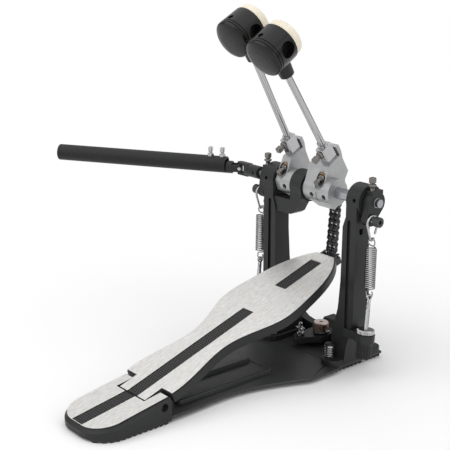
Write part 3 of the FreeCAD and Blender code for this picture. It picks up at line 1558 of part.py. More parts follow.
def spring_rod(sign):
    x = sign * S.spring_side
    rod = cylinder(S.spring_rod_radius, -S.spring_rod_drop, S.rod_reach - S.rod_eye_radius / 2, x, 0, 0, "Z")
    eye_x0, eye_x1 = ordered(x - S.rod_eye_half, x + S.rod_eye_half)
    eye = cylinder(S.rod_eye_radius, eye_x0, eye_x1, 0, 0, S.rod_reach)
    hole = cylinder(S.rod_eye_bore, eye_x0 - OVER, eye_x1 + OVER, 0, 0, S.rod_reach)
    return seat(cut(fuse(rod, eye), hole), ROD)


def is_flat_ring(edge):
    return edge.BoundBox.ZLength < 1e-6


def lock_nut(sign):
    x = sign * S.spring_side
    high = lug_half + S.lock_nut_height
    disc = bevelled(cylinder(S.lock_nut_radius, lug_half, high, x, 0, 0, "Z"), S.lock_nut_bevel, is_flat_ring)
    hole = cylinder(S.spring_rod_radius + S.seat_gap, lug_half - OVER, high + OVER, x, 0, 0, "Z")
    return seat(cut(disc, hole), ROD)


def tension_nut(sign):
    """A thumb nut with ribs round its rim."""
    x = sign * S.spring_side
    high = -lug_half - S.running_gap
    low = high - S.thumb_nut_height
    drum = cylinder(S.thumb_nut_radius, low, high, x, 0, 0, "Z")
    hole = cylinder(S.spring_rod_radius + S.running_gap, low - OVER, high + OVER, x, 0, 0, "Z")
    grooves = []
    for k in range(THUMB_RIBS):
        angle = as_size(k * FULL_TURN / THUMB_RIBS)
        across = x + S.thumb_nut_radius * cos_of(angle)
        forward = S.thumb_nut_radius * sin_of(angle)
        grooves.append(cylinder(S.thumb_rib, low - OVER, high - S.thumb_collar, across, forward, 0, "Z"))
    return seat(cut(drum, hole, *grooves), ROD)


for name, sign, frame, shift in SIDES:
    spot = (sign * S.spring_side, eye_y, eye_z)
    node(name + "_spring", shaped(SPRING_SHAPE.copy(), *spot, X_AXIS, -SPRING_LEAN))
    node(name + "_stirrup", shaped(STIRRUP_SHAPE.copy(), *spot, X_AXIS, -SPRING_LEAN))
    node(name + "_tension_nut", tension_nut(sign))
node("spring_rods", group(spring_rod(1), spring_rod(-1)))
node("lock_nuts", group(lock_nut(1), lock_nut(-1)))


# Universal joint and drive shaft. The outer half is made along -X from the joint, then swung back.
joint_x = -S.joint_reach


def fork_arms(x0, x1, frame_z):
    """Two arms above and below a cross, with round ends about its upright pin."""
    pieces = []
    for low, high in ((S.yoke_slot, S.yoke_radius), (-S.yoke_radius, -S.yoke_slot)):
        bar = box(x0, x1, -S.yoke_eye, S.yoke_eye, frame_z + low, frame_z + high)
        pieces.append(bar)
        pieces.append(cylinder(S.yoke_eye, frame_z + low, frame_z + high, joint_x, 0, 0, "Z"))
    return pieces


def inner_yoke():
    base_x = joint_x + S.yoke_base
    base = cylinder(S.yoke_radius, base_x - S.yoke_web, -S.yoke_start, 0, 0, S.axle_height)
    solid = fuse(base, *fork_arms(joint_x, base_x, S.axle_height))
    bore = cylinder(S.stub_radius + S.seat_gap, -S.slave_end - S.yoke_end_gap, -S.yoke_start + OVER, 0, 0,
                    S.axle_height)
    pin_hole = cylinder(S.cross_pin + S.running_gap, S.axle_height - S.yoke_radius - OVER,
                        S.axle_height + S.yoke_radius + OVER, joint_x, 0, 0, "Z")
    screw = cylinder(S.yoke_screw_radius, -S.yoke_radius - OVER, -S.stub_radius - S.yoke_screw_wall,
                     -S.yoke_start - S.yoke_screw_side, 0, S.axle_height, "Y")
    return cut(solid, bore, pin_hole, screw)


def swung(obj, lift=0.0):
    """Swings a piece made along -X about the joint's upright pin to the shaft's direction."""
    return place(obj, joint_x, 0, S.axle_height + lift, Z_AXIS, S.shaft_yaw)


def outer_yoke():
    base = cylinder(S.yoke_radius, -S.outer_hub_end, -S.outer_base + S.yoke_web)
    shaft = cylinder(S.shaft_radius, -S.shaft_end, -S.outer_hub_end)
    pieces = [base, shaft]
    for y0, y1 in ((S.yoke_slot, S.yoke_radius), (-S.yoke_radius, -S.yoke_slot)):
        pieces.append(box(-S.outer_base, 0, y0, y1, -S.yoke_eye, S.yoke_eye))
        pieces.append(cylinder(S.yoke_eye, y0, y1, along="Y"))
    pin_hole = cylinder(S.cross_pin + S.running_gap, -S.yoke_radius - OVER, S.yoke_radius + OVER, along="Y")
    return swung(cut(fuse(*pieces), pin_hole))


def cross():
    reach = S.yoke_radius - S.cross_inset
    body = cylinder(S.cross_body, -S.cross_body, S.cross_body, along="Z")
    upright = cylinder(S.cross_pin, -reach, reach, along="Z")
    level = cylinder(S.cross_pin, -reach, reach, along="Y")
    return swung(fuse(body, upright, level))


def drive_tube():
    """The tube rides high on the shaft, because its screws press the shaft to the bottom of the bore."""
    wall = cylinder(S.tube_radius, -S.tube_end, -S.tube_start)
    near_bore = cylinder(S.tube_near_bore, -S.tube_step - OVER, -S.tube_start + OVER)
    far_bore = cylinder(S.tube_bore, -S.tube_end - OVER, -S.tube_step)
    holes = []
    for along in (S.tube_screw_first, S.tube_screw_second):
        holes.append(cylinder(S.tube_screw_radius + S.seat_gap, 0, S.tube_radius + OVER, -along, 0, 0, "Z"))
    return swung(cut(wall, near_bore, far_bore, *holes), S.tube_lift)


def tube_screw(along):
    half = S.tube_key_half
    low = S.shaft_radius - S.tube_lift + S.running_gap
    nut = cylinder(S.tube_nut_radius, S.tube_radius, S.tube_radius + S.tube_nut_height, -along, 0, 0, "Z")
    top = S.tube_radius + S.tube_screw_rise
    shank = cylinder(S.tube_screw_radius, low, top - S.key_neck, -along, 0, 0, "Z")
    head = box(-along - half, -along + half, -half, half, top - S.screw_head_height, top)
    return swung(fuse(shank, nut, head), S.tube_lift)


node("inner_yoke", inner_yoke())
node("joint_cross", cross())
node("outer_yoke", outer_yoke())
node("drive_tube", drive_tube())
node("tube_screws", group(tube_screw(S.tube_screw_first), tube_screw(S.tube_screw_second)))


# Hoop clamp
def clamp_lever():
    plan = padded_z(outline("lever_plan"), 0, S.knob_top)
    side = padded_x(outline("lever_side"), -S.pivot_left, S.pivot_left)
    solid = common(plan, side)
    pivot = cylinder(S.pivot_radius + S.running_gap, -S.pivot_left, S.pivot_left, 0, S.pivot_forward,
                     S.pivot_height)
    knob_hole = cylinder(S.knob_shank + S.running_gap, 0, S.knob_top, 0, S.knob_forward, 0, "Z")
    tee_hole = cylinder(S.tee_radius + S.running_gap, 0, S.knob_top, -S.tee_side, -S.tee_rear, 0, "Z")
    return cut(solid, pivot, knob_hole, tee_hole)


def clamp_knob():
    body = cylinder(S.knob_radius, S.knob_base, S.knob_top, 0, S.knob_forward, 0, "Z")
    top = S.knob_top.value
    body = bevelled(body, S.knob_bevel, lambda e: e.BoundBox.ZMin > top - NEAR)
    shank = cylinder(S.knob_shank, plate_top + S.screw_foot_gap, S.knob_base + OVER, 0, S.knob_forward, 0,
                     "Z")
    pin_end = S.knob_radius + S.knob_pin_reach
    cross_pin = cylinder(S.knob_pin_radius, -pin_end, pin_end, 0, S.knob_forward,
                         S.knob_base + S.knob_pin_rise)
    hole = cylinder(S.knob_hole, S.knob_top - S.knob_hole_depth, S.knob_top + OVER, 0, S.knob_forward, 0, "Z")
    return cut(fuse(body, shank, cross_pin), hole)


def clamp_screw():
    x = -S.tee_side
    y = -S.tee_rear
    shank = cylinder(S.tee_radius, plate_top + S.screw_foot_gap, S.tee_top, x, y, 0, "Z")
    collar = cylinder(S.tee_collar, S.tee_bar_height - S.tee_collar_low, S.tee_bar_height - S.tee_collar_high,
                      x, y, 0, "Z")
    bar = cylinder(S.tee_bar_radius, x - S.tee_bar_half, x + S.tee_bar_half, 0, y, S.tee_bar_height)
    head = cylinder(S.tee_head, S.tee_bar_height - S.tee_head_half, S.tee_bar_height + S.tee_head_half, x,
                    y, 0, "Z")
    return fuse(shank, collar, bar, head)


node("clamp_lever", clamp_lever())
node("clamp_knob", clamp_knob())
node("clamp_screw", clamp_screw())


# Spur bolts and their springs
def spur(sign):
    x = sign * S.spur_side
    y = -S.spur_rear
    shank = cylinder(S.spur_radius, S.spur_tip + S.spur_point, S.spur_head_base + OVER, x, y, 0, "Z")
    point = DOC.addObject("Part::Cone", "cone")
    bind(point, Radius1=S.spur_point_radius, Radius2=S.spur_radius, Height=S.spur_point)
    place(point, x, y, S.spur_tip)
    head = cylinder(S.spur_head, S.spur_head_base, S.spur_head_top, x, y, 0, "Z")
    top = S.spur_head_top.value
    head = bevelled(head, S.spur_bevel, lambda e: e.BoundBox.ZMin > top - NEAR)
    return fuse(shank, point, head)


spur_stations = helix_stations(S.spur_coil_radius.value, S.spur_pitch.value, S.spur_turns.value, 0.0)
SPUR_PATH = wire_through(spur_stations)
SPUR_SPRING = tube_along(SPUR_PATH, spur_stations[0][1], S.spur_wire.value)
print("spur spring least gap %.3f mm" % self_gap(SPUR_PATH, S.spur_wire.value))


def spur_spring(sign):
    return shaped(SPUR_SPRING.copy(), sign * S.spur_side, -S.spur_rear, foot_top + S.spur_wire)


node("right_spur", spur(1))
node("left_spur", spur(-1))
node("spur_springs", group(spur_spring(1), spur_spring(-1)))


# Check every object, then write one file for each sub-part
DOC.recompute()
faults = []
for obj in DOC.Objects:
    if "Invalid" in obj.State or "Error" in obj.State:
        faults.append("%s (%s) is in state %s" % (obj.Name, obj.Label, obj.State))
for label, obj in NODES.items():
    if obj.Shape.isNull() or not obj.Shape.isValid() or not obj.Shape.Solids:
        faults.append("%s has no valid solid" % label)
if faults:
    raise RuntimeError("; ".join(faults))

os.makedirs("parts", exist_ok=True)
for label, obj in NODES.items():
    obj.Shape.exportStep("parts/%s.step" % label)
    extent = obj.Shape.BoundBox
    print("%-18s solids %2d  volume %9.1f  X %7.1f %7.1f  Y %7.1f %7.1f  Z %6.1f %6.1f" % (
        label, len(obj.Shape.Solids), obj.Shape.Volume, extent.XMin, extent.XMax,
        extent.YMin, extent.YMax, extent.ZMin, extent.ZMax))
print("%d sub-parts" % len(NODES))
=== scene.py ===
import math
import random

import bmesh
import bpy
from mathutils import Matrix, Vector

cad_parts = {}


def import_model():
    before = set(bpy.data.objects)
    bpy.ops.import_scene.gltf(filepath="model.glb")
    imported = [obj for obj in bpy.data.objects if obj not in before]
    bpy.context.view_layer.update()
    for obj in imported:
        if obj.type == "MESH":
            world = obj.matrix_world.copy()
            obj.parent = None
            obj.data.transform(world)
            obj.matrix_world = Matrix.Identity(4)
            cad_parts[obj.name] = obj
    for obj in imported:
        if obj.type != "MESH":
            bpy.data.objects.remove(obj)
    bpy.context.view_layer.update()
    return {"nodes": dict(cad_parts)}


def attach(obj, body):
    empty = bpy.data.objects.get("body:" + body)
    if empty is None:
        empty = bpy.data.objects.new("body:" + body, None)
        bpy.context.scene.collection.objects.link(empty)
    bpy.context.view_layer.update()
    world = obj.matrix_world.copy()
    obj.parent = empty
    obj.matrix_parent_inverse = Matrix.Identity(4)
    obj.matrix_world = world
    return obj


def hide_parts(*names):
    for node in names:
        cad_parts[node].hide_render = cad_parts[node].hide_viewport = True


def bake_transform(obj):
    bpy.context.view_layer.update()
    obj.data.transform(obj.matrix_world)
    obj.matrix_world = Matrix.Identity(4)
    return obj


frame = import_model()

# Double bass drum pedal, dressed round the CAD frame
# Sizes are in millimetres, and become metres in the meshes
MM = 0.001
NODES = frame["nodes"]

# Places and sizes that the dressed pieces share with the CAD
AXLE_HEIGHT = 185.0
RIGHT_LEAN = 34.0
LEFT_LEAN = 29.0
HUB_OFFSET = 58.0
ROD_SIDE = 10.0
ROD_FORWARD = 21.5
RIGHT_REACH = 170.5
LEFT_REACH = 176.5
HEEL_PIN_Y = -235.7
HEEL_PIN_Z = 17.8
HEEL_INCLINE = 9.65
FOOT_INCLINE = 18.47
STRIP_HALF = 8.08
SPRING_SIDE = 83.0
LUG_Y = -12.2
LUG_Z = 44.3
LUG_HALF = 4.3
ROD_LEAN = -4.76
ROD_REACH = 43.35
ROCKER_ARM = 18.3
ROCKER_BACK = 24.0
SPUR_SIDE = 44.0
SPUR_Y = -24.0
FOOT_TOP = 13.6
JOINT_X = -127.0
SHAFT_YAW = 30.5
TUBE_LIFT = 2.4
TUBE_RADIUS = 9.5


# Places
def spot(x, y, z, lean=0.0):
    """A place in the frame, leaning back about X by degrees."""
    return Matrix.Translation((x, y, z)) @ Matrix.Rotation(math.radians(lean), 4, "X")


ALONG_Y = Matrix.Rotation(math.radians(-90), 4, "X")
ALONG_BACK = Matrix.Rotation(math.radians(90), 4, "X")
ALONG_X = Matrix.Rotation(math.radians(90), 4, "Y")
RIGHT_HUB = spot(0, 0, AXLE_HEIGHT, RIGHT_LEAN)
LEFT_HUB = spot(-HUB_OFFSET, 0, AXLE_HEIGHT, LEFT_LEAN)
HEEL = spot(0, HEEL_PIN_Y, HEEL_PIN_Z, HEEL_INCLINE)
BOARD = spot(0, HEEL_PIN_Y, HEEL_PIN_Z, FOOT_INCLINE)
SHAFT = spot(JOINT_X, 0, AXLE_HEIGHT + TUBE_LIFT) @ Matrix.Rotation(math.radians(SHAFT_YAW), 4, "Z")
SIDES = {
    "right": (1, RIGHT_HUB, RIGHT_REACH, "main_axle"),
    "left": (-1, LEFT_HUB, LEFT_REACH, "slave_axle"),
}

# Shapes: the least radius on an axis, the points round a tooth, and how many depths of a tooth the radius
# has to exceed to be toothed. Then the rounding of wire ends, the flanks of a thread and the pull of curves
AXIS_RADIUS = 0.001
TOOTH_POINTS = 4
TOOTHED_FROM = 4
END_SHARES = (0.35, 0.8)
END_BULGE = 0.8
THREAD_RISE = 0.35
THREAD_FALL = 0.6
CURVE_PULL = 1.1
CURVE_STEPS = 10

# Sides of turned pieces and of wires
DISC_SIDES = 48
FLANGE_SIDES = 40
SCREW_SIDES = 32
TUBE_SCREW_SIDES = 28
HEXAGON = 6
CROSS_BAR_SIDES = 20
STIRRUP_SIDES = 14
COIL_SIDES = 10


class Shape:
    """Closed solids gathered into one mesh, given in millimetres."""

    def __init__(self):
        self.points = []
        self.faces = []

    def add(self, points, faces, place=Matrix()):
        first = len(self.points)
        self.points += [place @ Vector(p) for p in points]
        self.faces += [[first + i for i in face] for face in faces]
        return self

    def join(self, other):
        return self.add(other.points, other.faces)

    def loft(self, rings, place, closed=False):
        """A skin over rings with equal numbers of points, capped unless the last ring meets the first."""
        count = len(rings[0])
        points = [p for ring in rings for p in ring]
        faces = []
        steps = len(rings) if closed else len(rings) - 1
        for i in range(steps):
            low = i * count
            high = (i + 1) % len(rings) * count
            for j in range(count):
                k = (j + 1) % count
                faces.append([low + j, low + k, high + k, high + j])
        if not closed:
            faces.append(list(reversed(range(count))))
            faces.append([(len(rings) - 1) * count + j for j in range(count)])
        return self.add(points, faces, place)

    def lathe(self, profile, place, segments=DISC_SIDES, closed=False, teeth=0.0):
        """Turns (radius, height) pairs about Z, with teeth cut inwards where a depth is given."""
        rings = []
        for radius, height in profile:
            ring = []
            for j in range(segments):
                angle = 2 * math.pi * j / segments
                r = max(radius, AXIS_RADIUS)
                if radius > teeth * TOOTHED_FROM and j % TOOTH_POINTS >= TOOTH_POINTS / 2:
                    r -= teeth
                ring.append((r * math.cos(angle), r * math.sin(angle), height))
            rings.append(ring)
        return self.loft(rings, place, closed)

    def bar(self, half_x, half_y, low, high, bevel, place):
        """A square bar about Z with bevelled ends and corners."""
        rings = []
        levels = ((low, bevel), (low + bevel, 0), (high - bevel, 0), (high, bevel))
        for height, inset in levels:
            x = half_x - inset
            y = half_y - inset
            ring = [(x, bevel - y), (x, y - bevel), (x - bevel, y), (bevel - x, y),
                    (-x, y - bevel), (-x, bevel - y), (bevel - x, -y), (x - bevel, -y)]
            rings.append([(u, v, height) for u, v in ring])
        return self.loft(rings, place)

    def wire(self, path, radius, place, sides):
        """A round wire along a path, with rounded ends."""
        path = [Vector(p) for p in path]
        tangents = []
        for i in range(len(path)):
            step = path[min(i + 1, len(path) - 1)] - path[max(i - 1, 0)]
            tangents.append(step.normalized())
        side = tangents[0].orthogonal().normalized()
        rings = []
        for i, centre in enumerate(path):
            side = (side - tangents[i] * side.dot(tangents[i])).normalized()
            other = tangents[i].cross(side)
            rings.append((centre, tangents[i], side, other))
        skin = [end_ring(rings[0], -1, share, radius, sides) for share in END_SHARES]
        skin += [end_ring(ring, 1, 1.0, radius, sides) for ring in rings]
        skin += [end_ring(rings[-1], 1, share, radius, sides) for share in reversed(END_SHARES)]
        return self.loft(skin, place)

    def mesh(self, name):
        data = bpy.data.meshes.new(name)
        data.from_pydata([tuple(p * MM) for p in self.points], [], self.faces)
        work = bmesh.new()
        work.from_mesh(data)
        bmesh.ops.recalc_face_normals(work, faces=work.faces)
        work.to_mesh(data)
        work.free()
        return data


def end_ring(ring, sign, share, radius, sides):
    """A ring of a wire. A share below one is a smaller ring further out, for a rounded end."""
    centre, tangent, side, other = ring
    out = centre + tangent * (sign * radius * END_BULGE * math.sqrt(1 - share * share))
    points = []
    for j in range(sides):
        angle = 2 * math.pi * j / sides
        points.append(out + (side * math.cos(angle) + other * math.sin(angle)) * (radius * share))
    return points


def thread(low, high, radius, pitch, depth):
    """Half section of a thread between two heights."""
    turns = max(1, int(round((high - low) / pitch)))
    step = (high - low) / turns
    profile = [(radius - depth, low)]
    for k in range(turns):
        base = low + k * step
        profile += [(radius, base + step * THREAD_RISE), (radius, base + step * THREAD_FALL)]
        profile.append((radius - depth, base + step))
    return profile


def helix(radius, pitch, turns, base, steps=32):
    points = []
    for k in range(int(turns * steps) + 1):
        angle = 2 * math.pi * k / steps
        points.append(Vector((radius * math.cos(angle), radius * math.sin(angle), base + pitch * k / steps)))
    return points


def curve_through(stations):
    """Points on a smooth curve through stations of place and direction."""
    points = []
    for (p0, d0), (p1, d1) in zip(stations, stations[1:]):
        p0, p1 = Vector(p0), Vector(p1)
        reach = (p1 - p0).length * CURVE_PULL
        m0 = Vector(d0).normalized() * reach
        m1 = Vector(d1).normalized() * reach
        for k in range(CURVE_STEPS):
            t = k / CURVE_STEPS
            a = 2 * t ** 3 - 3 * t ** 2 + 1
            b = t ** 3 - 2 * t ** 2 + t
            c = -2 * t ** 3 + 3 * t ** 2
            d = t ** 3 - t ** 2
            points.append(p0 * a + m0 * b + p1 * c + m1 * d)
    points.append(Vector(stations[-1][0]))
    return points


# Pieces: angles in degrees above which their edges stay sharp
SHARP_EDGES = 32.0
SHARP_CAP = 50.0
SHARP_FELT = 60.0
SHARP_WIRE = 80.0


def smooth(data):
    for face in data.polygons:
        face.use_smooth = True


def piece(name, shape, material, body, node=None, sharp=SHARP_EDGES):
    """A dressed piece that rides on a body and, where a node is named, stands for it."""
    data = shape.mesh(name)
    data.materials.append(material)
    obj = bpy.data.objects.new(name, data)
    bpy.context.scene.collection.objects.link(obj)
    smooth(data)
    data.set_sharp_from_angle(angle=math.radians(sharp))
    if node:
        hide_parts(node)
    if body:
        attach(obj, body)
    return obj


# Round edges of the CAD nodes that keep their shape
WELD_REACH = 1e-6
ROUND_SEGMENTS = 2
ROUND_FROM = 35.0


def soften(name, material, width):
    """Gives a CAD node its material and small round edges."""
    obj = NODES[name]
    obj.data.materials.clear()
    obj.data.materials.append(material)
    smooth(obj.data)
    weld = obj.modifiers.new("weld", "WELD")
    weld.merge_threshold = WELD_REACH
    bevel = obj.modifiers.new("round edges", "BEVEL")
    bevel.width = width * MM
    bevel.segments = ROUND_SEGMENTS
    bevel.limit_method = "ANGLE"
    bevel.angle_limit = math.radians(ROUND_FROM)
    bevel.use_clamp_overlap = True
    normals = obj.modifiers.new("even normals", "WEIGHTED_NORMAL")
    normals.keep_sharp = False


# Materials: most of a noise lies between these two values
NOISE_LOW = 0.3
NOISE_HIGH = 0.7


class Finish:
    """A material with one main shader, and short calls for the nodes that feed it."""

    def __init__(self, name, metallic=0.0, **sockets):
        self.material = bpy.data.materials.new(name)
        self.material.use_nodes = True
        self.tree = self.material.node_tree
        self.shader = self.tree.nodes["Principled BSDF"]
        self.shader.inputs["Metallic"].default_value = metallic
        for socket, amount in sockets.items():
            self.shader.inputs[socket.replace("_", " ")].default_value = amount
        self.place = self.add("ShaderNodeTexCoord").outputs["Object"]

    def add(self, kind, **sockets):
        made = self.tree.nodes.new(kind)
        for socket, amount in sockets.items():
            self.feed(made.inputs[socket.replace("_", " ")], amount)
        return made

    def feed(self, socket, source):
        if isinstance(source, bpy.types.NodeSocket):
            self.tree.links.new(source, socket)
        else:
            socket.default_value = source

    def maths(self, operation, *sources):
        made = self.add("ShaderNodeMath")
        made.operation = operation
        for socket, source in zip(made.inputs, sources):
            self.feed(socket, source)
        return made.outputs["Value"]

    def mapped(self, scale, tilt=0.0):
        """Object coordinates turned to lie along a slope, then stretched."""
        turned = self.add("ShaderNodeMapping", Vector=self.place, Rotation=(math.radians(-tilt), 0, 0))
        return self.add("ShaderNodeMapping", Vector=turned.outputs["Vector"], Scale=scale).outputs["Vector"]

    def noise(self, vector, scale=1.0, detail=3.0, roughness=0.6):
        made = self.add("ShaderNodeTexNoise", Vector=vector, Scale=scale, Detail=detail, Roughness=roughness)
        return made.outputs["Fac"]

    def ramp(self, fac, low, high, start=0.35, end=0.65):
        """Runs between two colours as the factor goes from start to end."""
        made = self.add("ShaderNodeValToRGB", Fac=fac)
        made.color_ramp.elements[0].position = start
        made.color_ramp.elements[1].position = end
        made.color_ramp.elements[0].color = (*low, 1)
        made.color_ramp.elements[1].color = (*high, 1)
        return made.outputs["Color"]

    def span(self, noise, low, high):
        """Runs between two numbers as a noise goes through most of its range."""
        made = self.add("ShaderNodeMapRange", Value=noise, From_Min=NOISE_LOW, From_Max=NOISE_HIGH,
                        To_Min=low, To_Max=high)
        return made.outputs["Result"]

    def bump(self, height, strength, depth):
        made = self.add("ShaderNodeBump", Height=height, Strength=strength, Distance=depth * MM)
        self.feed(self.shader.inputs["Normal"], made.outputs["Normal"])

    def colour(self, source):
        self.feed(self.shader.inputs["Base Color"], source)

    def gloss(self, source):
        self.feed(self.shader.inputs["Roughness"], source)


def grey(level, warm=0.0):
    return (level * (1 + warm), level, level * (1 - warm))


# Scales of the patterns, in waves to the metre, and how far tone and gloss stray
CLOUD_SCALE = 60.0
CLOUD_DEPTH = 0.08
CLOUD_GLOSS = 0.04
GRAIN_STRENGTH = 0.25
WEAR_SCALE = 180.0
WEAR_DARK = 0.95
WEAR_GLOSS = 0.07
SCRATCH_SCALE = 2600.0
SCRATCH_STRENGTH = 0.02
SCRATCH_DEPTH = 0.01
STREAK_SCALE = (1500, 70, 1500)
MOTTLE_SCALE = (420, 170, 420)
STREAK_SHARE = 0.6
BRUSHED_DARK = (0.60, 0.59, 0.57)
BRUSHED_PALE = (0.84, 0.83, 0.81)
FIBRE_SCALE = (900, 900, 900)
FELT_CLOUD_SCALE = 90.0
FELT_DARK = (0.77, 0.69, 0.55)
FELT_PALE = (0.84, 0.77, 0.64)
FIBRE_SHADE = 0.86

# Places of the two colours and of their product among the sockets of a colour mix
MIX_FIRST = 6
MIX_SECOND = 7
MIX_RESULT = 2


def coated(name, level, rough, grain=1400.0, depth=0.05, warm=-0.03, metallic=0.0, shine=0.5):
    """Painted or cast surface: faint cloudy tone and a fine grain."""
    finish = Finish(name, metallic, Specular_IOR_Level=shine)
    cloud = finish.noise(finish.place, CLOUD_SCALE)
    fine = finish.noise(finish.place, grain, detail=2.0)
    dark = grey(level * (1 - CLOUD_DEPTH), warm)
    pale = grey(level * (1 + CLOUD_DEPTH), warm)
    finish.colour(finish.ramp(cloud, dark, pale))
    finish.gloss(finish.span(cloud, rough - CLOUD_GLOSS, rough + CLOUD_GLOSS))
    finish.bump(fine, GRAIN_STRENGTH, depth)
    return finish.material


def polished(name, colour, rough):
    """Plated or bare metal with faint wear in its gloss."""
    finish = Finish(name, metallic=1.0)
    wear = finish.noise(finish.place, WEAR_SCALE, detail=4.0)
    fine = finish.noise(finish.place, SCRATCH_SCALE, detail=2.0)
    finish.colour(finish.ramp(wear, [c * WEAR_DARK for c in colour], colour))
    finish.gloss(finish.span(wear, rough, rough + WEAR_GLOSS))
    finish.bump(fine, SCRATCH_STRENGTH, SCRATCH_DEPTH)
    return finish.material


def brushed(name, tilt):
    """Brushed plate: fine streaks along the slope over a soft mottle."""
    finish = Finish(name, metallic=0.7)
    streak = finish.noise(finish.mapped(STREAK_SCALE, tilt), detail=4.0, roughness=0.7)
    mottle = finish.noise(finish.mapped(MOTTLE_SCALE, tilt), detail=2.0)
    mixed = finish.maths("MULTIPLY_ADD", streak, STREAK_SHARE, finish.span(mottle, low=0.1, high=0.3))
    finish.colour(finish.ramp(mixed, BRUSHED_DARK, BRUSHED_PALE, start=0.34, end=0.68))
    finish.gloss(finish.span(streak, low=0.36, high=0.5))
    finish.bump(streak, strength=0.2, depth=0.05)
    return finish.material


def felt():
    """Pressed wool: cream with fine fibres and a soft sheen."""
    finish = Finish("felt", Sheen_Weight=0.35, Sheen_Roughness=0.6, Roughness=0.95)
    fibre = finish.noise(finish.mapped(FIBRE_SCALE), detail=6.0, roughness=0.75)
    cloud = finish.noise(finish.place, FELT_CLOUD_SCALE)
    mix = finish.add("ShaderNodeMix")
    mix.data_type = "RGBA"
    mix.blend_type = "MULTIPLY"
    mix.inputs["Factor"].default_value = 1.0
    finish.feed(mix.inputs[MIX_FIRST], finish.ramp(cloud, FELT_DARK, FELT_PALE))
    finish.feed(mix.inputs[MIX_SECOND], finish.ramp(fibre, grey(FIBRE_SHADE), grey(1.0), start=0.3, end=0.6))
    finish.colour(mix.outputs[MIX_RESULT])
    finish.bump(fibre, strength=0.4, depth=0.4)
    return finish.material


CASTING = coated("black casting", 0.018, 0.42, 900.0, 0.08, shine=0.3)
SHEET_BLACK = coated("black sheet", 0.033, 0.40, shine=0.4)
TUBE_BLACK = coated("black tube", 0.014, 0.46, shine=0.25)
BEATER_BLACK = coated("beater plastic", 0.008, 0.24, 500.0, 0.02, 0.0, shine=0.32)
NUT_BLACK = coated("black plastic", 0.014, 0.45, shine=0.35)
RUBBER = coated("rubber", 0.022, 0.75, 1800.0, 0.12, 0.0)
STRIP = coated("grip strip", 0.009, 0.60, 1500.0, 0.10, 0.0, shine=0.3)
STRIP_DOT = coated("grip dots", 0.045, 0.50, 1500.0, 0.08, 0.0)
SILVER_CASTING = coated("silver casting", 0.40, 0.38, 900.0, 0.06, -0.01, 0.75)
BOARD_PLATE = brushed("footboard plate", FOOT_INCLINE)
HEEL_PLATE = brushed("heel plate", HEEL_INCLINE)
BRIGHT = polished("bright steel", (0.47, 0.47, 0.48), 0.13)
ZINC = polished("zinc steel", (0.50, 0.50, 0.51), 0.28)
AXLE_STEEL = polished("axle steel", (0.38, 0.39, 0.41), 0.24)
SPRING_STEEL = polished("spring wire", (0.37, 0.36, 0.36), 0.18)
CHAIN_STEEL = polished("chain steel", (0.075, 0.075, 0.08), 0.30)
NICKEL = polished("black nickel", (0.19, 0.18, 0.17), 0.16)
BRONZE = polished("bronze", (0.36, 0.23, 0.13), 0.28)
COPPER = polished("copper plate", (0.34, 0.24, 0.19), 0.26)
PALE_CAP = polished("pale cap", (0.72, 0.64, 0.58), 0.40)
FELT = felt()

# CAD nodes that keep their own shape, each with its finish and the width of its round edges
KEPT = [
    ("base_plate", SHEET_BLACK, 0.8), ("floor_pads", RUBBER, 0.3), ("heel_block", CASTING, 0.8),
    ("heel_plate", HEEL_PLATE, 0.25), ("hinge_pins", BRIGHT, 0.3), ("footboard_body", CASTING, 0.8),
    ("footboard_plate", BOARD_PLATE, 0.25), ("toe_insert", BOARD_PLATE, 0.3), ("hinge_bushes", BRONZE, 0.2),
    ("chain_clip", SHEET_BLACK, 0.3), ("right_post", CASTING, 1.2), ("left_post", CASTING, 1.2),
    ("centre_support", CASTING, 1.2), ("front_bridge", CASTING, 0.8), ("axle_bearings", BRIGHT, 0.4),
    ("main_axle", AXLE_STEEL, 0.3), ("slave_axle", AXLE_STEEL, 0.3), ("right_hub", SILVER_CASTING, 1.0),
    ("left_hub", SILVER_CASTING, 1.0), ("right_rod_clamp", BRIGHT, 0.5), ("left_rod_clamp", BRIGHT, 0.5),
    ("right_rocker", CASTING, 0.8), ("left_rocker", CASTING, 0.8), ("right_spring_bolt", ZINC, 0.4),
    ("left_spring_bolt", ZINC, 0.4), ("right_beater_rod", BRIGHT, 0.4), ("left_beater_rod", BRIGHT, 0.4),
    ("right_beater_head", BEATER_BLACK, 0.5), ("left_beater_head", BEATER_BLACK, 0.5),
    ("chain_run", CHAIN_STEEL, 0.15), ("chain_link_1", CHAIN_STEEL, 0.15),
    ("chain_link_2", CHAIN_STEEL, 0.15), ("chain_link_3", CHAIN_STEEL, 0.15),
    ("chain_link_4", CHAIN_STEEL, 0.15), ("chain_anchor", CHAIN_STEEL, 0.15),
    ("right_tension_nut", NUT_BLACK, 0.4), ("left_tension_nut", NUT_BLACK, 0.4),
    ("inner_yoke", CASTING, 0.6), ("joint_cross", BRIGHT, 0.3), ("outer_yoke", CASTING, 0.6),
    ("drive_tube", TUBE_BLACK, 0.5), ("clamp_lever", CASTING, 0.8),
]
for node_name, finish, edge in KEPT:
    soften(node_name, finish, edge)

# The spring bolts' heads are black beyond a distance from the middle. The edges of the plates get the black
# casting finish as painted shade, darkening the gap line at the hinge and the plates' outlines:
# faces that lie less flat than the limit, where one is flat and zero is upright
BOLT_HEAD_START = 86.6
EDGE_LIMIT = 0.7


def second_material(name, material, chosen):
    """Gives the chosen faces of a CAD node another material."""
    data = NODES[name].data
    data.materials.append(material)
    for face in data.polygons:
        if chosen(face):
            face.material_index = 1


def is_bolt_head(face):
    return abs(face.center.x) > BOLT_HEAD_START * MM


def painted_shade_edges_of(place):
    """Tells the edges of a plate that lies flat in a place from its faces, for their painted shade."""
    across = place.to_3x3() @ Vector((0, 0, 1))
    return lambda face: abs(face.normal.dot(across)) < EDGE_LIMIT


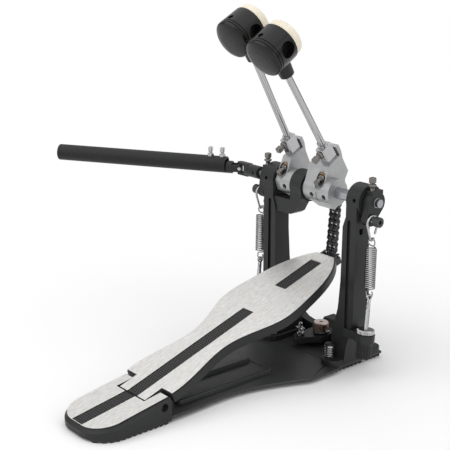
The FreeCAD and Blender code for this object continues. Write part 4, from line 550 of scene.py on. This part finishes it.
for node_name in ("right_spring_bolt", "left_spring_bolt"):
    second_material(node_name, SHEET_BLACK, is_bolt_head)
# Painted shade: the plates' edge faces take the black casting finish to darken the hinge gap and their
# outlines
second_material("footboard_plate", CASTING, painted_shade_edges_of(BOARD))
second_material("heel_plate", CASTING, painted_shade_edges_of(HEEL))

# Beater felts, with fuzz that calms down towards the middle
FELT_SEGMENTS = 120
FELT_SEED = 11
FELT_FUZZ = 0.10
FELT_CALM = 8.0
FELT_RIM = 20.0
FELT_BASE = 10.5
FELT_BEVEL = 0.6
FELT_SHOULDER = 16.6
FELT_CROWN = 22.3
SHOULDER_WIDTH = 6.4
SHOULDER_HEIGHT = 5.2
RIM_STEPS = 6
SHOULDER_STEPS = 10
CROWN_STEPS = 6


def felt_profile():
    """Flat back, upright rim with a soft shoulder, and a low crown."""
    low = FELT_BASE + FELT_BEVEL
    profile = [(0.0, FELT_BASE), (FELT_RIM / 2, FELT_BASE),
               (FELT_RIM - FELT_BEVEL, FELT_BASE), (FELT_RIM, low)]
    for k in range(1, RIM_STEPS + 1):
        profile.append((FELT_RIM, low + (FELT_SHOULDER - low) * k / RIM_STEPS))
    for k in range(1, SHOULDER_STEPS + 1):
        angle = math.radians(90 * k / SHOULDER_STEPS)
        radius = FELT_RIM - SHOULDER_WIDTH * (1 - math.cos(angle))
        profile.append((radius, FELT_SHOULDER + SHOULDER_HEIGHT * math.sin(angle)))
    radius, height = profile[-1]
    for k in range(1, CROWN_STEPS + 1):
        share = k / CROWN_STEPS
        profile.append((radius * (1 - share), height + (FELT_CROWN - height) * (1 - (1 - share) ** 2)))
    return profile


def felt_shape(place, seed):
    profile = felt_profile()
    shape = Shape().lathe(profile, place @ ALONG_Y, FELT_SEGMENTS)
    draw = random.Random(seed)
    centre = place.translation
    for i, point in enumerate(shape.points):
        fuzz = FELT_FUZZ * min(1.0, profile[i // FELT_SEGMENTS][0] / FELT_CALM)
        shape.points[i] = point + (point - centre).normalized() * draw.uniform(-fuzz, fuzz)
    return shape


for side, (sign, hub, reach, _) in SIDES.items():
    head = hub @ Matrix.Translation((ROD_SIDE, ROD_FORWARD, reach))
    pad = felt_shape(head, FELT_SEED + sign)
    piece(side + "_felt", pad, FELT, side + "_beater", side + "_beater_felt", SHARP_FELT)

# Key screws, with threads, round flanges and square heads
KEY_RADIUS = 2.6
KEY_PITCH = 0.9
KEY_THREAD = 0.25
KEY_SINK = 0.6
KEY_FLANGE = 4.2
KEY_HEAD_HALF = 2.9
KEY_HEAD_BEVEL = 0.55

# Section of their flange: the foot from the height zero, and the top from the flange's height
FLANGE_FOOT = [(KEY_FLANGE - 0.5, 0.02), (KEY_FLANGE, 0.4)]
FLANGE_TOP = [(KEY_FLANGE, -0.9), (KEY_FLANGE - 0.7, -0.2), (KEY_RADIUS + 0.4, 0.0)]

# Places of the key screws, where they end, and the heights of the flange and of the head's start and end
UPPER_KEY = (ROD_SIDE, 13.6, 38.0)
LOWER_KEY = (ROD_SIDE + 1, 2.4, 16.0)
ROCKER_KEY_SIDE = 77.25
ROCKER_KEY_Y = -3.5
ROCKER_KEY_RISE = 17.0
UPPER_TIP = -4.0
LOWER_TIP = -10.0
ROCKER_TIP = -7.6
HUB_KEY_HEIGHTS = (3.2, 5.0, 11.5)
ROCKER_KEY_HEIGHTS = (2.4, 3.5, 9.0)

# Wave washers, and set screws sunk in the hub collars and beater heads
WASHER_BASES = (-2.18, -1.08)
WASHER_BORE = KEY_RADIUS + 0.1
WASHER_SECTION = [(WASHER_BORE, 0.2), (5.2, 0.1), (5.6, 0.5), (5.2, 0.95), (WASHER_BORE, 0.85)]
COLLAR_SCREWS = {"right": (2.0, 19.7), "left": (19.0,)}
COLLAR_HOLE_FLOOR = -10.45
COLLAR_HOLE_RISE = 4.0
COLLAR_SCREW_RADIUS = 2.75
COLLAR_SCREW_LENGTH = 2.4
HEAD_HOLE_BACK = 7.0
HEAD_HOLE_FLOOR = 15.05
HEAD_SCREW_RADIUS = 2.9
HEAD_SCREW_LENGTH = 4.0
SOCKET_SHARE = 0.55
SOCKET_TAPER = 0.9
SOCKET_FLOOR = 0.4
SET_SCREW_BEVEL = 0.3


def key_screw(shape, place, tip, heights):
    """A drum key screw along Z from its tip, with its flange standing on the height zero."""
    flange, head_low, head_high = heights
    section = FLANGE_FOOT + [(radius, flange + rise) for radius, rise in FLANGE_TOP]
    shape.lathe(thread(tip, head_low + KEY_SINK, KEY_RADIUS, KEY_PITCH, KEY_THREAD), place, SCREW_SIDES)
    shape.lathe(section, place, FLANGE_SIDES)
    shape.bar(KEY_HEAD_HALF, KEY_HEAD_HALF, head_low, head_high, KEY_HEAD_BEVEL, place)


def hub_screws(sign, hub):
    shape = Shape()
    rocker = spot(sign * ROCKER_KEY_SIDE, ROCKER_KEY_Y, AXLE_HEIGHT + ROCKER_KEY_RISE)
    key_screw(shape, hub @ Matrix.Translation(UPPER_KEY) @ ALONG_BACK, UPPER_TIP, HUB_KEY_HEIGHTS)
    key_screw(shape, hub @ Matrix.Translation(LOWER_KEY) @ ALONG_BACK, LOWER_TIP, HUB_KEY_HEIGHTS)
    key_screw(shape, rocker, ROCKER_TIP, ROCKER_KEY_HEIGHTS)
    return shape


def spring_washers(hub):
    """Two wave washers under the lower screw's flange."""
    place = hub @ Matrix.Translation(LOWER_KEY) @ ALONG_BACK
    shape = Shape()
    for base in WASHER_BASES:
        section = [(radius, base + rise) for radius, rise in WASHER_SECTION]
        shape.lathe(section, place, FLANGE_SIDES, True)
    return shape


def set_screw(shape, place, radius, length):
    """A screw with a round socket, along Z from its inner end."""
    rim = radius * SOCKET_SHARE
    depth = length * SOCKET_FLOOR
    bevel = SET_SCREW_BEVEL
    section = [(0.0, 0.0), (radius, 0.0), (radius, length - bevel), (radius - bevel, length),
               (rim, length), (rim * SOCKET_TAPER, depth), (0.0, depth)]
    return shape.lathe(section, place, SCREW_SIDES)


def collar_screws(side, hub):
    shape = Shape()
    for along in COLLAR_SCREWS[side]:
        place = hub @ Matrix.Translation((along, COLLAR_HOLE_FLOOR, COLLAR_HOLE_RISE)) @ ALONG_BACK
        set_screw(shape, place, COLLAR_SCREW_RADIUS, COLLAR_SCREW_LENGTH)
    return shape


def head_screw(hub, reach):
    place = hub @ Matrix.Translation((ROD_SIDE, ROD_FORWARD - HEAD_HOLE_BACK, reach + HEAD_HOLE_FLOOR))
    return set_screw(Shape(), place, HEAD_SCREW_RADIUS, HEAD_SCREW_LENGTH)


for side, (sign, hub, reach, body) in SIDES.items():
    piece(side + "_screws", hub_screws(sign, hub), NICKEL, body, side + "_key_screws")
    piece(side + "_washers", spring_washers(hub), BRONZE, body)
    piece(side + "_collar_screws", collar_screws(side, hub), NUT_BLACK, body)
    piece(side + "_head_screw", head_screw(hub, reach), NUT_BLACK, side + "_beater")

# Springs, stirrups and their rods
WIRE_RADIUS = 0.74
COIL_RADIUS = 5.1
COIL_PITCH = 2.1
COIL_TURNS = 20
LOOP_RADIUS = 4.2
LOOP_CLEAR = 1.9
LOOP_ANGLES = (205, 140, 80, 20, -35)
STIRRUP_WIRE = 1.2
STIRRUP_RADIUS = 7.7
STIRRUP_HOOK = 2.6
STIRRUP_CLEAR = 0.3
STIRRUP_HOOK_END = 345
STIRRUP_LEG_START = 0.36
SLEEVE_RADIUS = 3.5
COIL_START = 2 * LOOP_RADIUS + LOOP_CLEAR
COIL_END = COIL_START + COIL_TURNS * COIL_PITCH
LOOP_CENTRE = COIL_END + LOOP_CLEAR + LOOP_RADIUS

# Where the wire leaves the coil and bends inwards, each with its direction
HOOK_START = ((COIL_RADIUS, 0, COIL_END), (0, 1, 0.07))
HOOK_BEND = ((0.4, COIL_RADIUS * 0.55, COIL_END + 1.3), (-1.0, -0.12, 0.35))

# The spring's line, from the eye of its rod to the bolt
eye_place = spot(0, LUG_Y, LUG_Z, ROD_LEAN) @ Vector((0, 0, ROD_REACH))
bolt_place = spot(0, 0, AXLE_HEIGHT, -ROCKER_BACK) @ Vector((0, 0, -ROCKER_ARM))
spring_line = bolt_place - eye_place
SPRING_LEAN = -math.degrees(math.atan2(spring_line.y, spring_line.z))
SPRING_LENGTH = spring_line.length

# Threaded spring rod with a flat ring, and the knurled nut on it. Here and below, a thread is given by two
# heights, radius, pitch and depth, and a section by pairs of radius and height
ROD_FOOT = [(1.9, -25.0)]
ROD_THREAD = (-24.6, 31.0, 2.5, 1.0, 0.32)
ROD_NECK = [(2.3, 31.6), (2.3, ROD_REACH - 4.0), (1.5, ROD_REACH - 2.6)]
RING_SECTION = [(1.5, -1.1), (1.9, -1.3), (3.2, -1.3), (3.6, -0.8),
                (3.6, 0.8), (3.2, 1.3), (1.9, 1.3), (1.5, 1.1)]
NUT_BORE = 2.55
NUT_RADIUS = 9.2
NUT_BEVEL = 0.8
NUT_HEIGHT = 5.0
NUT_SEGMENTS = 160
NUT_TEETH = 0.35


def upper_hook():
    """In from the coil to the axis, then round a loop."""
    stations = [HOOK_START, HOOK_BEND]
    for degrees in LOOP_ANGLES:
        angle = math.radians(degrees)
        point = (LOOP_RADIUS * math.cos(angle), 0, LOOP_CENTRE + LOOP_RADIUS * math.sin(angle))
        stations.append((point, (math.sin(angle), 0, -math.cos(angle))))
    return curve_through(stations)


def spring_path():
    hook = upper_hook()
    middle = (COIL_START + COIL_END) / 2
    lower = [Vector((p.x, -p.y, 2 * middle - p.z)) for p in reversed(hook)]
    return lower[:-1] + helix(COIL_RADIUS, COIL_PITCH, COIL_TURNS, COIL_START) + hook[1:]


def arc(radius, height, start, end, steps):
    """Points on an arc in the YZ plane, between two angles in degrees."""
    points = []
    for k in range(steps + 1):
        angle = math.radians(start + (end - start) * k / steps)
        points.append(Vector((0, radius * math.cos(angle), height + radius * math.sin(angle))))
    return points


def stirrup_path():
    """A teardrop loop: hook round the spring, straight legs and a round top over the bolt."""
    low = LOOP_CENTRE + LOOP_RADIUS - WIRE_RADIUS - STIRRUP_WIRE - STIRRUP_CLEAR + STIRRUP_HOOK
    high = SPRING_LENGTH - (STIRRUP_RADIUS - STIRRUP_WIRE - SLEEVE_RADIUS - STIRRUP_CLEAR)
    tilt = math.degrees(math.asin((STIRRUP_RADIUS - STIRRUP_HOOK) / (high - low)))
    top = arc(STIRRUP_RADIUS, high, -tilt, 180 + tilt, steps=36)
    foot = arc(STIRRUP_HOOK, low, 180 + tilt, STIRRUP_HOOK_END, steps=20)
    leg_end = arc(STIRRUP_HOOK, low, -tilt, -tilt, steps=1)[0]
    start = leg_end + (top[0] - leg_end) * STIRRUP_LEG_START
    return [start] + top + foot


def spring_rod(sign):
    """Threaded rod with a flat ring at its upper end."""
    shape = Shape()
    place = spot(sign * SPRING_SIDE, LUG_Y, LUG_Z, ROD_LEAN)
    ring = place @ Matrix.Translation((0, 0, ROD_REACH)) @ ALONG_X
    shape.lathe(ROD_FOOT + thread(*ROD_THREAD) + ROD_NECK, place, SCREW_SIDES)
    return shape.lathe(RING_SECTION, ring, FLANGE_SIDES, True)


def lock_nut(sign):
    """Knurled disc with bevelled rims."""
    low = LUG_HALF
    high = LUG_HALF + NUT_HEIGHT
    section = [(NUT_BORE, low), (NUT_RADIUS - NUT_BEVEL, low), (NUT_RADIUS, low + NUT_BEVEL),
               (NUT_RADIUS, high - NUT_BEVEL), (NUT_RADIUS - NUT_BEVEL, high), (NUT_BORE, high)]
    place = spot(sign * SPRING_SIDE, LUG_Y, LUG_Z, ROD_LEAN)
    return Shape().lathe(section, place, NUT_SEGMENTS, True, NUT_TEETH)


rods = Shape()
nuts = Shape()
for side, (sign, *_) in SIDES.items():
    base = spot(sign * SPRING_SIDE, eye_place.y, eye_place.z, SPRING_LEAN)
    wound = Shape().wire(spring_path(), WIRE_RADIUS, base, COIL_SIDES)
    coil = piece(side + "_coil", wound, SPRING_STEEL, None, side + "_spring", SHARP_WIRE)
    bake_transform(coil)
    loop = Shape().wire(stirrup_path(), STIRRUP_WIRE, base, STIRRUP_SIDES)
    piece(side + "_loop", loop, BRIGHT, side + "_stirrup", side + "_stirrup", SHARP_WIRE)
    rods.join(spring_rod(sign))
    nuts.join(lock_nut(sign))
piece("tension_rods", rods, BRIGHT, "base", "spring_rods")
piece("knurled_nuts", nuts, BRIGHT, "base", "lock_nuts")

# Grip strips with staggered dots: stretches along the slope, and heights of their undersides and tops
DOT_PITCH = 3.1
DOT_RADIUS = 1.0
DOT_RISE = 0.3
DOT_SINK = 0.05
DOT_BEVEL = 0.1
DOT_TOP_SHARE = 0.75
STRIP_BEVEL = 0.15
BOARD_STRETCHES = [(-8.5, 146.4), (193.3, 249.2)]
BOARD_STRIP_LOW = 6.6
BOARD_STRIP_HIGH = 7.8
HEEL_STRETCHES = [(-72.7, -12.1)]
HEEL_SKIN_TOP = 7.7 * math.cos(math.radians(HEEL_INCLINE))
HEEL_STRIP_LOW = HEEL_SKIN_TOP - 1.5
HEEL_STRIP_HIGH = HEEL_SKIN_TOP - 0.3


def strip(place, start, end, low, high):
    block = place @ Matrix.Translation((0, (start + end) / 2, 0))
    return Shape().bar(STRIP_HALF, (end - start) / 2, low, high - DOT_RISE, STRIP_BEVEL, block)


def dots(place, start, end, high):
    """Low six-sided studs in staggered rows."""
    shape = Shape()
    row_step = DOT_PITCH * math.sqrt(3) / 2
    rows = int((end - start - 2 * DOT_RADIUS) / row_step)
    margin = (end - start - rows * row_step) / 2
    columns = int((STRIP_HALF - DOT_RADIUS) / DOT_PITCH)
    section = [(DOT_RADIUS, high - DOT_RISE - DOT_SINK), (DOT_RADIUS, high - DOT_BEVEL),
               (DOT_RADIUS * DOT_TOP_SHARE, high)]
    for row in range(rows + 1):
        shift = DOT_PITCH / 2 * (row % 2)
        along = start + margin + row * row_step
        for column in range(-columns, columns + 1 - row % 2):
            stud = place @ Matrix.Translation((column * DOT_PITCH + shift, along, 0))
            shape.lathe(section, stud, HEXAGON)
    return shape


def grip(name, place, stretches, low, high, body, node):
    bed = Shape()
    studs = Shape()
    for start, end in stretches:
        bed.join(strip(place, start, end, low, high))
        studs.join(dots(place, start, end, high))
    piece(name + "_bed", bed, STRIP, body, node)
    piece(name + "_dots", studs, STRIP_DOT, body)


grip("board_grip", BOARD, BOARD_STRETCHES, BOARD_STRIP_LOW, BOARD_STRIP_HIGH, "footboard", "grip_strips")
grip("heel_tread", HEEL, HEEL_STRETCHES, HEEL_STRIP_LOW, HEEL_STRIP_HIGH, "base", "heel_grip")

# Spurs with domed heads, and their springs
SPUR_COIL = 4.35
SPUR_WIRE = 0.75
SPUR_PITCH = 1.93
SPUR_TURNS = 5
SPUR_POINT = [(0.5, 5.0), (2.2, 7.6)]
SPUR_THREAD = (8.0, 25.0, 2.6, 0.9, 0.25)
SPUR_FLANGE = [(4.7, 25.0), (5.3, 25.6), (5.3, 27.0), (4.7, 27.6)]
DOME_RADIUS = 5.2
DOME_BASE = 27.6
DOME_START = 28.4
DOME_HEIGHT = 1.6
DOME_STEPS = 6


def spur_cap(place):
    dome = [(DOME_RADIUS, DOME_BASE), (DOME_RADIUS, DOME_START)]
    for k in range(1, DOME_STEPS + 1):
        angle = math.radians(90 * k / DOME_STEPS)
        dome.append((DOME_RADIUS * math.cos(angle), DOME_START + DOME_HEIGHT * math.sin(angle)))
    return Shape().lathe(dome, place, FLANGE_SIDES)


def spur_shank(place):
    shape = Shape().lathe(SPUR_POINT + thread(*SPUR_THREAD), place, SCREW_SIDES)
    return shape.lathe(SPUR_FLANGE, place, FLANGE_SIDES)


spur_coils = Shape()
for side, (sign, *_) in SIDES.items():
    place = spot(sign * SPUR_SIDE, SPUR_Y, 0)
    cap = spur_cap(place)
    piece(side + "_spur_cap", cap, NUT_BLACK, side + "_spur", side + "_spur", SHARP_CAP)
    piece(side + "_spur_shank", spur_shank(place), BRIGHT, side + "_spur")
    wound = helix(SPUR_COIL, SPUR_PITCH, SPUR_TURNS, FOOT_TOP + SPUR_WIRE, steps=28)
    spur_coils.wire(wound, SPUR_WIRE, place, COIL_SIDES)
piece("spur_coils", spur_coils, SPRING_STEEL, "base", "spur_springs", SHARP_WIRE)

# Hoop clamp knob: drum with a fine knurl, pale cap, and a shank with a collar and a cross pin
KNOB_Y = 7.5
KNOB_SEGMENTS = 144
KNOB_TEETH = 0.2
KNOB_DRUM = [(8.0, 22.6), (8.6, 23.2), (8.6, 31.4), (8.2, 31.9), (3.0, 31.9), (3.0, 22.6)]
KNOB_CAP = [(2.0, 27.8), (8.1, 31.85), (8.1, 32.3), (7.6, 32.8), (2.4, 32.8), (2.0, 32.4)]
KNOB_THREAD = (8.4, 21.2, 3.0, 1.0, 0.3)
KNOB_COLLAR = [(7.6, 20.85), (8.6, 21.2), (8.6, 22.2), (7.9, 22.65), (2.9, 22.65), (2.9, 20.85)]
KNOB_CORE = [(2.9, 22.0), (2.9, 27.8)]
KNOB_PIN_HALF = 12.0
KNOB_PIN_Z = 24.3
KNOB_PIN_RADIUS = 1.4

# T-headed screw of the hoop clamp: thread, collar, stem and cross bar
TEE_X = -12.0
TEE_Y = -12.0
TEE_THREAD = (8.3, 24.2, 2.2, 0.9, 0.25)
TEE_COLLAR = [(4.0, 19.3), (4.4, 19.7), (4.4, 21.7), (4.0, 22.1)]
TEE_STEM = [(2.4, 24.1), (2.7, 24.4), (2.7, 28.6), (2.2, 28.9), (2.2, 32.4), (1.6, 33.0)]
TEE_BAR_HALF = 5.0
TEE_BAR_Z = 26.5
TEE_BAR_RADIUS = 1.7


def cross_bar(shape, place, half, height, radius):
    return shape.wire([(-half, 0, height), (half, 0, height)], radius, place, CROSS_BAR_SIDES)


def knob_shank(place):
    shape = Shape().lathe(thread(*KNOB_THREAD), place, SCREW_SIDES)
    shape.lathe(KNOB_COLLAR, place, closed=True)
    cross_bar(shape, place, KNOB_PIN_HALF, KNOB_PIN_Z, KNOB_PIN_RADIUS)
    return shape.lathe(KNOB_CORE, place, SCREW_SIDES)


def tee_screw(place):
    shape = Shape().lathe(thread(*TEE_THREAD), place, SCREW_SIDES)
    shape.lathe(TEE_COLLAR, place, FLANGE_SIDES)
    shape.lathe(TEE_STEM, place, SCREW_SIDES)
    return cross_bar(shape, place, TEE_BAR_HALF, TEE_BAR_Z, TEE_BAR_RADIUS)


knob = spot(0, KNOB_Y, 0)
drum = Shape().lathe(KNOB_DRUM, knob, KNOB_SEGMENTS, True, KNOB_TEETH)
cap = Shape().lathe(KNOB_CAP, knob, closed=True)
piece("knob_body", drum, COPPER, "clamp_knob", "clamp_knob")
piece("knob_cap", cap, PALE_CAP, "clamp_knob")
piece("knob_shank", knob_shank(knob), BRIGHT, "clamp_knob")
piece("tee_screw", tee_screw(spot(TEE_X, TEE_Y, 0)), BRIGHT, "clamp_screw", "clamp_screw")

# Drive tube screws with nuts, at these distances from the joint
TUBE_SCREW_PLACES = (22.4, 36.8)
TUBE_SCREW_THREAD = (2.65, TUBE_RADIUS + 5.0, 1.9, 0.8, 0.22)
TUBE_NUT = [(3.9, TUBE_RADIUS - 0.4), (3.9, TUBE_RADIUS + 2.2),
            (3.4, TUBE_RADIUS + 2.6), (1.8, TUBE_RADIUS + 2.6)]
TUBE_HEAD_HALF = 2.32
TUBE_HEAD_LOW = TUBE_RADIUS + 4.5
TUBE_HEAD_HIGH = TUBE_RADIUS + 10.0
TUBE_HEAD_BEVEL = 0.45


def tube_screws():
    shape = Shape()
    for along in TUBE_SCREW_PLACES:
        place = SHAFT @ Matrix.Translation((-along, 0, 0))
        shape.lathe(thread(*TUBE_SCREW_THREAD), place, TUBE_SCREW_SIDES)
        shape.lathe(TUBE_NUT, place, HEXAGON)
        shape.bar(TUBE_HEAD_HALF, TUBE_HEAD_HALF, TUBE_HEAD_LOW, TUBE_HEAD_HIGH, TUBE_HEAD_BEVEL, place)
    return shape


piece("tube_key_screws", tube_screws(), BRIGHT, "drive_tube", "tube_screws")

# Floor, world, lamps and camera, in metres
FLOOR_HALF = 60.0
FLOOR_COLOUR = (0.88, 0.88, 0.88, 1)
FADE_CENTRE = (-0.05, -0.12, 0)
FADE_START = 0.22
FADE_END = 0.55

# The room is bright above and on the camera's side, and dark behind the object
BRIGHT_SIDE = (0.46, -0.39, 0.80)
WORLD_DARK = 0.20
WORLD_BRIGHT = 0.75
DARK_UNTIL = -0.5
BRIGHT_FROM = 0.8

# The lamps point at one target. Each has a name, a place, a width and depth, and watts
LAMP_TARGET = (-0.05, -0.10, 0.12)
LAMPS = [
    ("key", (-0.5, -1.5, 1.3), (2.2, 2.0), 14),
    ("top", (0.0, 0.1, 1.9), (2.8, 2.8), 17),
    ("fill", (1.6, 0.0, 0.7), (0.8, 1.2), 4),
    ("panel", (-0.93, 0.3, 0.83), (1.0, 0.9), 1.2),
]
CAMERA_AZIMUTH = math.radians(49.94)
CAMERA_ELEVATION = math.radians(15.89)
CAMERA_PLACE = (0.7652, -0.7740, 0.4530)
CAMERA_LENS = 84.456
CAMERA_SENSOR = 36.0


def seen_rays(finish):
    """One where a ray comes straight from the camera, a mirror or glass."""
    path = finish.add("ShaderNodeLightPath")
    mirrored = finish.maths("MAXIMUM", path.outputs["Is Camera Ray"], path.outputs["Is Glossy Ray"])
    return finish.maths("MAXIMUM", mirrored, path.outputs["Is Transmission Ray"])


def floor():
    """A pale floor that turns white well away from the object."""
    half = FLOOR_HALF
    corners = [(-half, -half, 0), (half, -half, 0), (half, half, 0), (-half, half, 0)]
    data = bpy.data.meshes.new("floor")
    data.from_pydata(corners, [], [(0, 1, 2, 3)])
    obj = bpy.data.objects.new("floor", data)
    bpy.context.scene.collection.objects.link(obj)
    finish = Finish("floor", Roughness=0.9, Specular_IOR_Level=0.1)
    finish.colour(FLOOR_COLOUR)
    far = finish.add("ShaderNodeVectorMath", Vector=finish.place)
    far.operation = "DISTANCE"
    far.inputs[1].default_value = FADE_CENTRE
    fade = finish.add("ShaderNodeMapRange", Value=far.outputs["Value"],
                      From_Min=FADE_START, From_Max=FADE_END)
    fade.interpolation_type = "SMOOTHSTEP"
    share = finish.maths("MULTIPLY", fade.outputs["Result"], seen_rays(finish))
    white = finish.add("ShaderNodeEmission")
    mixed = finish.add("ShaderNodeMixShader")
    sources = (share, finish.shader.outputs["BSDF"], white.outputs["Emission"])
    for socket, source in zip(mixed.inputs, sources):
        finish.feed(socket, source)
    finish.feed(finish.tree.nodes["Material Output"].inputs["Surface"], mixed.outputs["Shader"])
    data.materials.append(finish.material)


def world():
    made = bpy.data.worlds.new("studio")
    made.use_nodes = True
    bpy.context.scene.world = made
    tree = made.node_tree
    plain = tree.nodes["Background"]
    plain.inputs["Color"].default_value = (1, 1, 1, 1)
    way = tree.nodes.new("ShaderNodeTexCoord")
    toward = tree.nodes.new("ShaderNodeVectorMath")
    toward.operation = "DOT_PRODUCT"
    toward.inputs[1].default_value = BRIGHT_SIDE
    tree.links.new(way.outputs["Generated"], toward.inputs[0])
    level = tree.nodes.new("ShaderNodeMapRange")
    level.inputs["From Min"].default_value = DARK_UNTIL
    level.inputs["From Max"].default_value = BRIGHT_FROM
    level.inputs["To Min"].default_value = WORLD_DARK
    level.inputs["To Max"].default_value = WORLD_BRIGHT
    tree.links.new(toward.outputs["Value"], level.inputs["Value"])
    tree.links.new(level.outputs["Result"], plain.inputs["Strength"])


def lamp(name, place, size, power):
    data = bpy.data.lights.new(name, "AREA")
    data.shape = "RECTANGLE"
    data.size, data.size_y = size
    data.energy = power
    obj = bpy.data.objects.new(name, data)
    bpy.context.scene.collection.objects.link(obj)
    obj.location = place
    obj.rotation_euler = (Vector(LAMP_TARGET) - Vector(place)).to_track_quat("-Z", "Y").to_euler()


def camera():
    data = bpy.data.cameras.new("camera")
    data.sensor_width = CAMERA_SENSOR
    data.lens = CAMERA_LENS
    obj = bpy.data.objects.new("camera", data)
    bpy.context.scene.collection.objects.link(obj)
    flat = math.cos(CAMERA_ELEVATION)
    side = math.sin(CAMERA_AZIMUTH) * flat
    rear = -math.cos(CAMERA_AZIMUTH) * flat
    back = Vector((side, rear, math.sin(CAMERA_ELEVATION)))
    obj.location = CAMERA_PLACE
    obj.rotation_euler = (-back).to_track_quat("-Z", "Y").to_euler()
    bpy.context.scene.camera = obj


floor()
world()
for lamp_row in LAMPS:
    lamp(*lamp_row)
camera()
bpy.context.scene.view_settings.view_transform = "Standard"
